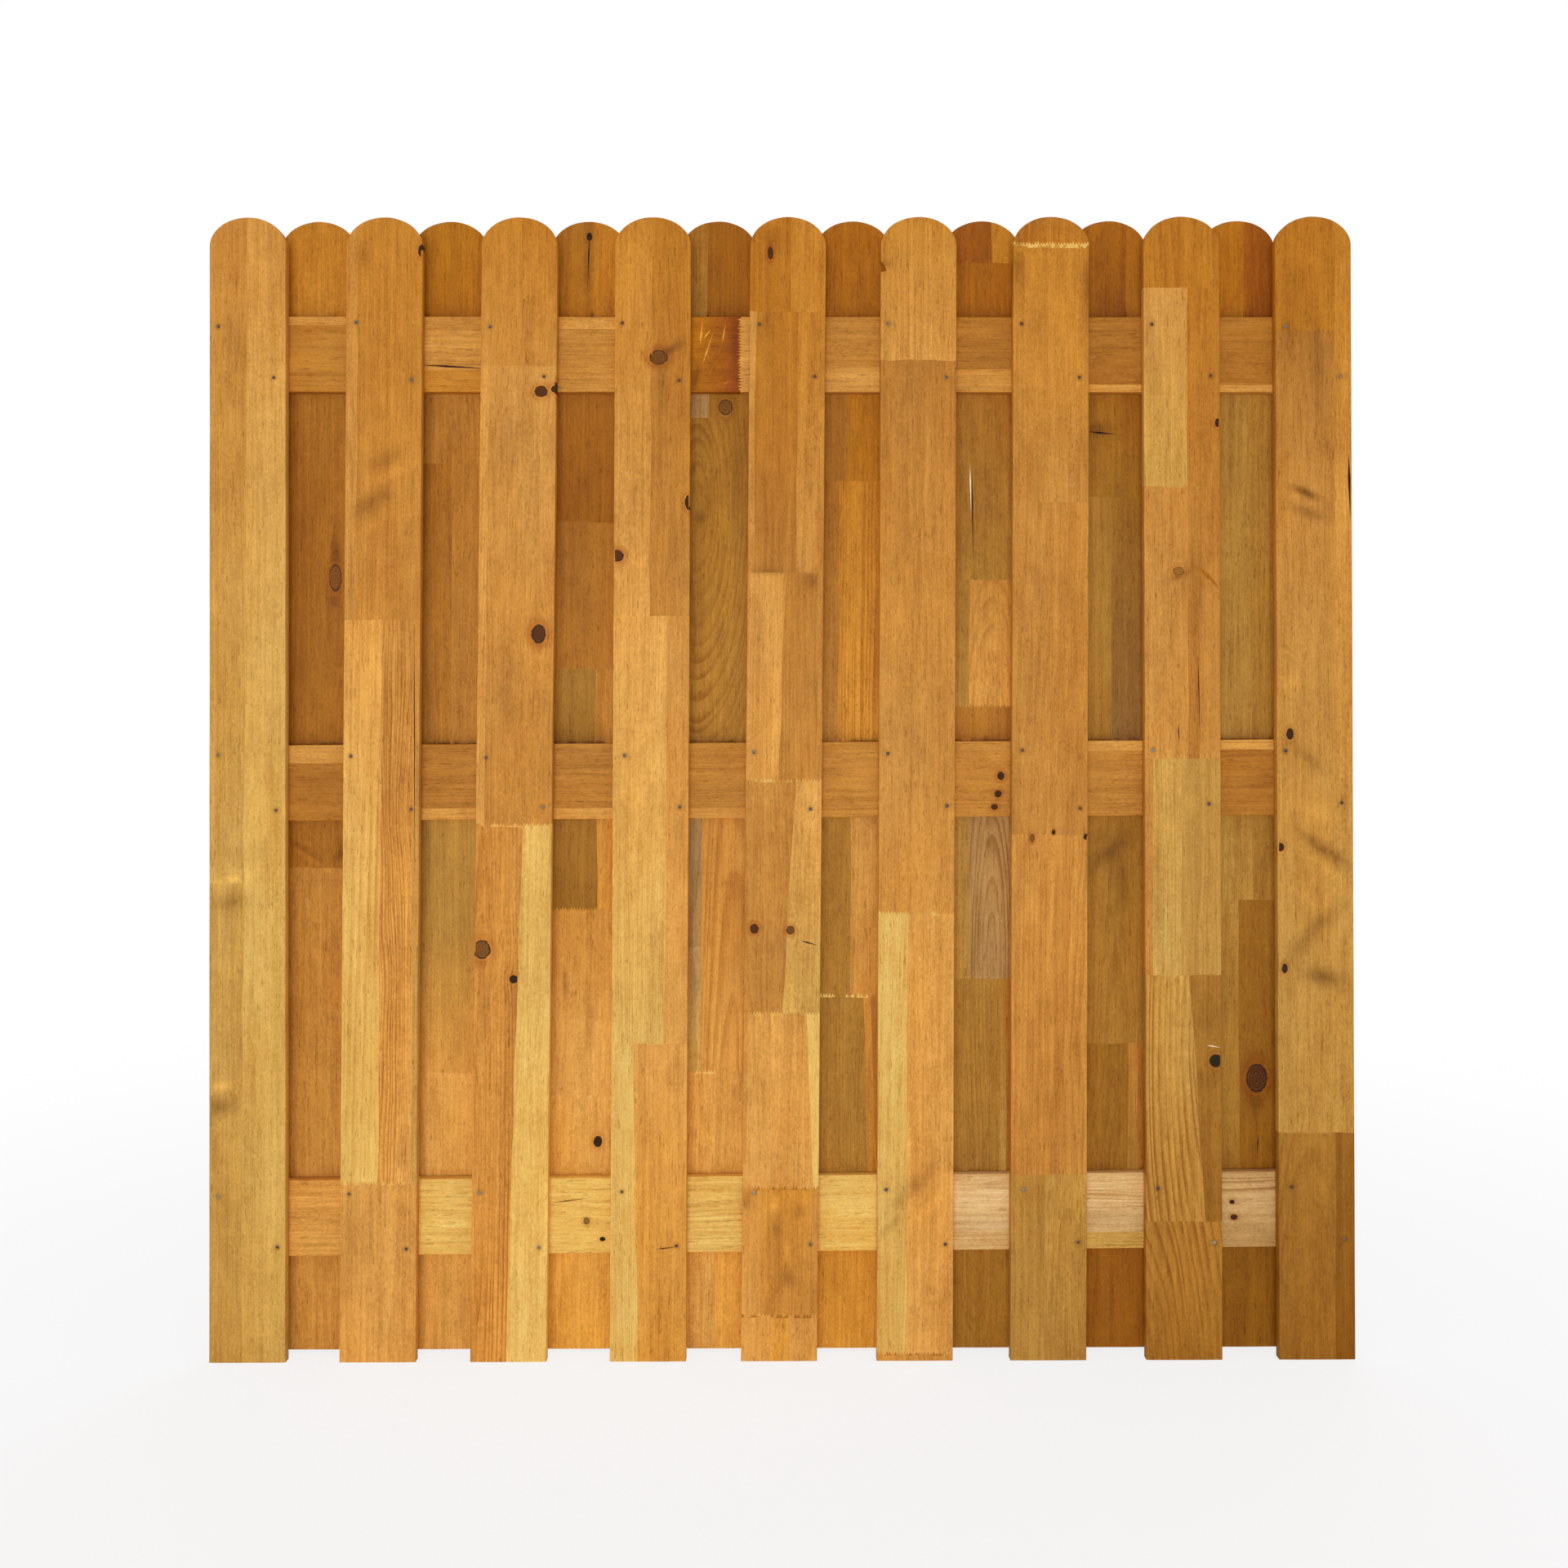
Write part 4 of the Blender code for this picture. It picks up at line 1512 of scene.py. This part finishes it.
def drawn_rings(graph, wood):
    """How strongly the dark late wood of a ring shows, in rings of uneven width."""
    turns = ring_turns(graph, wood)
    along = graph.maths("ADD", turns, wood["luck"][0])
    inputs = {"W": along, "Scale": RING_PACE_BENDS, "Detail": 2.0}
    pace = graph.add("ShaderNodeTexNoise", inputs, noise_dimensions="1D").outputs["Fac"]
    saw = graph.maths("FRACT", graph.line(pace, RING_PACE, turns))
    late = graph.times(graph.step(saw, "late_rise"), graph.step(saw, "late_fall"))
    patchy = graph.step(graph.texture(wood["moved"], "patchy"), "patchy")
    drawn = graph.times(late, graph.line(wood["luck"][4], *RING_STRENGTH))
    drawn = graph.times(graph.times(drawn, wood["figure"]), patchy)
    return graph.maths("MINIMUM", drawn, RING_MOST)


def shaded_wood(graph, wood, textures, drawn):
    """The strip's tone with its rings, shaded by its textures, and a slow drift of its hue."""
    tone = wood["tone"]
    colour = graph.tint_where(drawn, tone, "latewood")
    pale = graph.step(graph.split(tone)[1], "pale")
    darker = graph.mix(pale, TINTS["darker"], TINTS["darker_pale"])
    lighter = graph.mix(pale, TINTS["lighter"], TINTS["lighter_pale"])
    shade = 0.5 - sum(weight for texture, weight in SHADES) / 2
    for texture, weight in SHADES:
        shade = graph.line(textures[texture], weight, shade)
    colour = graph.mix(shade, graph.tint(colour, darker), graph.tint(colour, lighter))
    lined = graph.line(wood["figure"], FIGURE_GLOW, 1 - FIGURE_GLOW)
    colour = graph.scale(colour, graph.maths("MAXIMUM", lined, 1.0))
    drift = graph.step(graph.texture(wood["moved"], "drift"), "drift")
    return graph.mix(drift, graph.tint(colour, "warm"), graph.tint(colour, "cool"))


def marked_wood(graph, wood, fleck, colour):
    """The wood with its flecks, and the stains, pale patches and painted shade that its mesh carries.
    """
    colour = graph.tint_where(graph.times(fleck, FLECK_SHARE), colour, "fleck")
    colour = graph.tint_where(graph.maths("MINIMUM", wood["stain"], 1.0), colour, "stain")
    return graph.tint_where(graph.times(wood["stain"], -1.0), colour, "bleach")


def knotted_wood(graph, wood, colour):
    """The wood with its knots: a dark core of rings, a pale collar and a halo round it."""
    ragged = graph.line(graph.texture(wood["moved"], "ragged"), KNOT_RAGGED, wood["near"])
    ringed = graph.times(wood["black"], -1.0)
    halo = graph.times(graph.step(ragged, "halo"), graph.step(wood["black"], "halo_by_black"))
    halo = graph.times(halo, graph.step(ringed, "halo_by_ringed"))
    colour = graph.tint_where(halo, colour, "halo")
    collar = graph.times(graph.step(ragged, "collar_rise"), graph.step(ragged, "collar_fall"))
    colour = graph.tint_where(graph.times(collar, COLLAR_SHARE), colour, "collar")
    rings = graph.maths("SINE", graph.times(ragged, RINGS_IN_KNOT))
    heart = graph.mix(wood["black"], RED_HEART, BLACK_HEART)
    heart = graph.scale(heart, graph.step(rings, "heart_rings"))
    clear = graph.tint(wood["tone"], "clear_heart")
    clear = graph.scale(clear, graph.step(rings, "clear_rings"))
    heart = graph.mix(ringed, heart, clear)
    bark = graph.times(graph.step(ragged, "bark_rise"), graph.step(ragged, "bark_fall"))
    heart = graph.mix(graph.times(bark, BARK_SHARE), heart, BARK)
    core = graph.step(ragged, "core")
    return graph.mix(core, colour, heart), core, rings


def wood_material(name):
    """Stained, glued-up softwood, painted by what its boards' meshes carry."""
    graph = Graph(bpy.data.materials.new(name))
    wood = read_wood(graph)
    drawn = drawn_rings(graph, wood)
    textures = {texture: graph.texture(wood["moved"], texture) for texture, weight in SHADES}
    fleck = graph.step(graph.texture(wood["moved"], "fleck"), "fleck")
    colour = shaded_wood(graph, wood, textures, drawn)
    colour = marked_wood(graph, wood, fleck, colour)
    colour, core, rings = knotted_wood(graph, wood, colour)
    # Lighter eased edges: partly wear, partly a painted highlight along the arrises
    worn = graph.step(graph.texture(wood["moved"], "wear"), "wear")
    worn = graph.times(graph.times(wood["edge"], worn), ARRIS_WEAR_AND_HIGHLIGHT[name])
    colour = graph.tint_where(worn, colour, "worn")

    hair = textures["hair"]
    rough = graph.step(graph.maths("ADD", hair, textures["cloud"]), "wood_rough")
    rough = graph.line(core, CORE_SMOOTHER, rough)
    relief = graph.line(drawn, RELIEF["drawn"], graph.times(hair, RELIEF["hair"]))
    relief = graph.line(textures["crumb"], RELIEF["crumb"], relief)
    relief = graph.line(fleck, RELIEF["fleck"], relief)
    relief = graph.line(graph.times(core, rings), RELIEF["core"], relief)
    graph.finish_shader(colour, rough, graph.bump(*WOOD_BUMP, relief), Specular_IOR_Level=SHEEN)
    return graph.holder


def nail_material():
    """Galvanised nail heads, dulled by the weather."""
    graph = Graph(bpy.data.materials.new("galvanised_nails"))
    spot = graph.add("ShaderNodeTexCoord").outputs["Object"]
    crystal = graph.noise(spot, *NAIL_CRYSTAL)
    clean = graph.step(graph.noise(spot, *NAIL_CLOUD), "clean_zinc")
    colour = graph.mix(clean, NAIL_RUST, NAIL_ZINC)
    colour = graph.scale(colour, graph.step(crystal, "crystal"))
    rough = graph.step(crystal, "zinc_rough")
    graph.finish_shader(colour, rough, graph.bump(*NAIL_BUMP, crystal), Metallic=NAIL_METALLIC)
    return graph.holder


# The studio


def seen_directly(graph):
    """1 for rays that show the background to the camera, itself or through gloss and glass."""
    path = graph.add("ShaderNodeLightPath")
    total = path.outputs["Is Camera Ray"]
    for name in ("Is Glossy Ray", "Is Transmission Ray"):
        total = graph.maths("MAXIMUM", total, path.outputs[name])
    return total


def make_world():
    """White light from all round, and a white backdrop for the camera."""
    world = bpy.data.worlds.new("studio")
    bpy.context.scene.world = world
    graph = Graph(world)
    graph.tree.nodes.clear()
    light = graph.add("ShaderNodeBackground", {"Color": WHITE, "Strength": WORLD_LIGHT})
    backdrop = graph.add("ShaderNodeBackground", {"Color": WHITE, "Strength": 1.0})
    shown = graph.mix_shaders(seen_directly(graph), light, backdrop)
    graph.add("ShaderNodeOutputWorld", {0: shown})


def floor_material():
    """A white floor with the panel's shadow, which turns into the backdrop further away."""
    graph = Graph(bpy.data.materials.new("pale_floor"))
    graph.tree.nodes.clear()
    matt = graph.add("ShaderNodeBsdfDiffuse", {"Color": (*[FLOOR_WHITE] * 3, 1)})
    glow = graph.add("ShaderNodeEmission")
    spot = graph.add("ShaderNodeTexCoord").outputs["Object"]
    away = graph.vector("LENGTH", {0: spot}).outputs["Value"]
    fade = graph.ramp(away, FLOOR_NEAR, FLOOR_FAR, FLOOR_NEAR_SHARE)
    shown = graph.mix_shaders(graph.times(seen_directly(graph), fade), matt, glow)
    graph.add("ShaderNodeOutputMaterial", {0: shown})
    return graph.holder


def make_floor():
    """A wide floor that the panel stands on, as staging."""
    mesh = bpy.data.meshes.new("floor")
    signs = ((-1, -1), (1, -1), (1, 1), (-1, 1))
    corners = [(FLOOR_REACH * x, FLOOR_REACH * y, 0) for x, y in signs]
    mesh.from_pydata(corners, [], [(0, 1, 2, 3)])
    mesh.materials.append(floor_material())
    floor = linked("floor", mesh)
    floor.location = ((cad_low[0] + cad_high[0]) / 2, 0, cad_low[2])


def soft_light(name, place, size, power):
    """A large lamp that faces the panel's middle, from so far off that it lights it evenly."""
    light = bpy.data.lights.new(name, "AREA")
    light.shape = "RECTANGLE"
    light.size, light.size_y = size
    light.energy = power
    lamp = linked(name, light)
    lamp.location = place
    aim = (cad_low + cad_high) / 2 - Vector(place)
    lamp.rotation_euler = aim.to_track_quat("-Z", "Y").to_euler()
    lamp.visible_camera = False


def make_camera():
    """The photograph's camera, found by fitting the planks' ends and heads."""
    camera = bpy.data.cameras.new("camera")
    camera.sensor_width = CAMERA_SENSOR
    camera.lens = CAMERA_LENS
    camera.shift_y = CAMERA_SHIFT
    holder = linked("camera", camera)
    turned = Matrix.Rotation(math.radians(CAMERA_YAW), 4, "Z")
    turned @= Matrix.Rotation(math.radians(CAMERA_PITCH), 4, "X")
    turned @= Matrix.Rotation(math.radians(CAMERA_ROLL), 4, "Y")
    upright = Matrix.Rotation(math.radians(90), 4, "X")
    holder.matrix_world = Matrix.Translation(CAMERA_PLACE) @ turned @ upright
    bpy.context.scene.camera = holder


# Putting it together

bpy.context.scene.view_settings.view_transform = "Standard"
make_world()
make_floor()
make_camera()
soft_light("key_light", KEY_PLACE, KEY_SIZE, KEY_POWER)
soft_light("back_light", BACK_PLACE, BACK_SIZE, BACK_POWER)

front_nails = nail_spots(FRONT_PLANKS)
back_nails = nail_spots(BACK_PLANKS)
nails = {**front_nails, **back_nails}
layers = (
    (FRONT_PLANKS, "front_plank_wood"),
    (BACK_PLANKS, "back_plank_wood"),
    (RAILS, "rail_wood"),
)
for nodes, slot in layers:
    wood = wood_material(slot)
    for node in nodes:
        dress_board(node, nails.get(node, ()), wood)
zinc = nail_material()
make_nails("front_nails", front_nails, cad_low[1] + FACE_SKIN, -1, zinc)
make_nails("back_nails", back_nails, cad_high[1] - FACE_SKIN, 1, zinc)
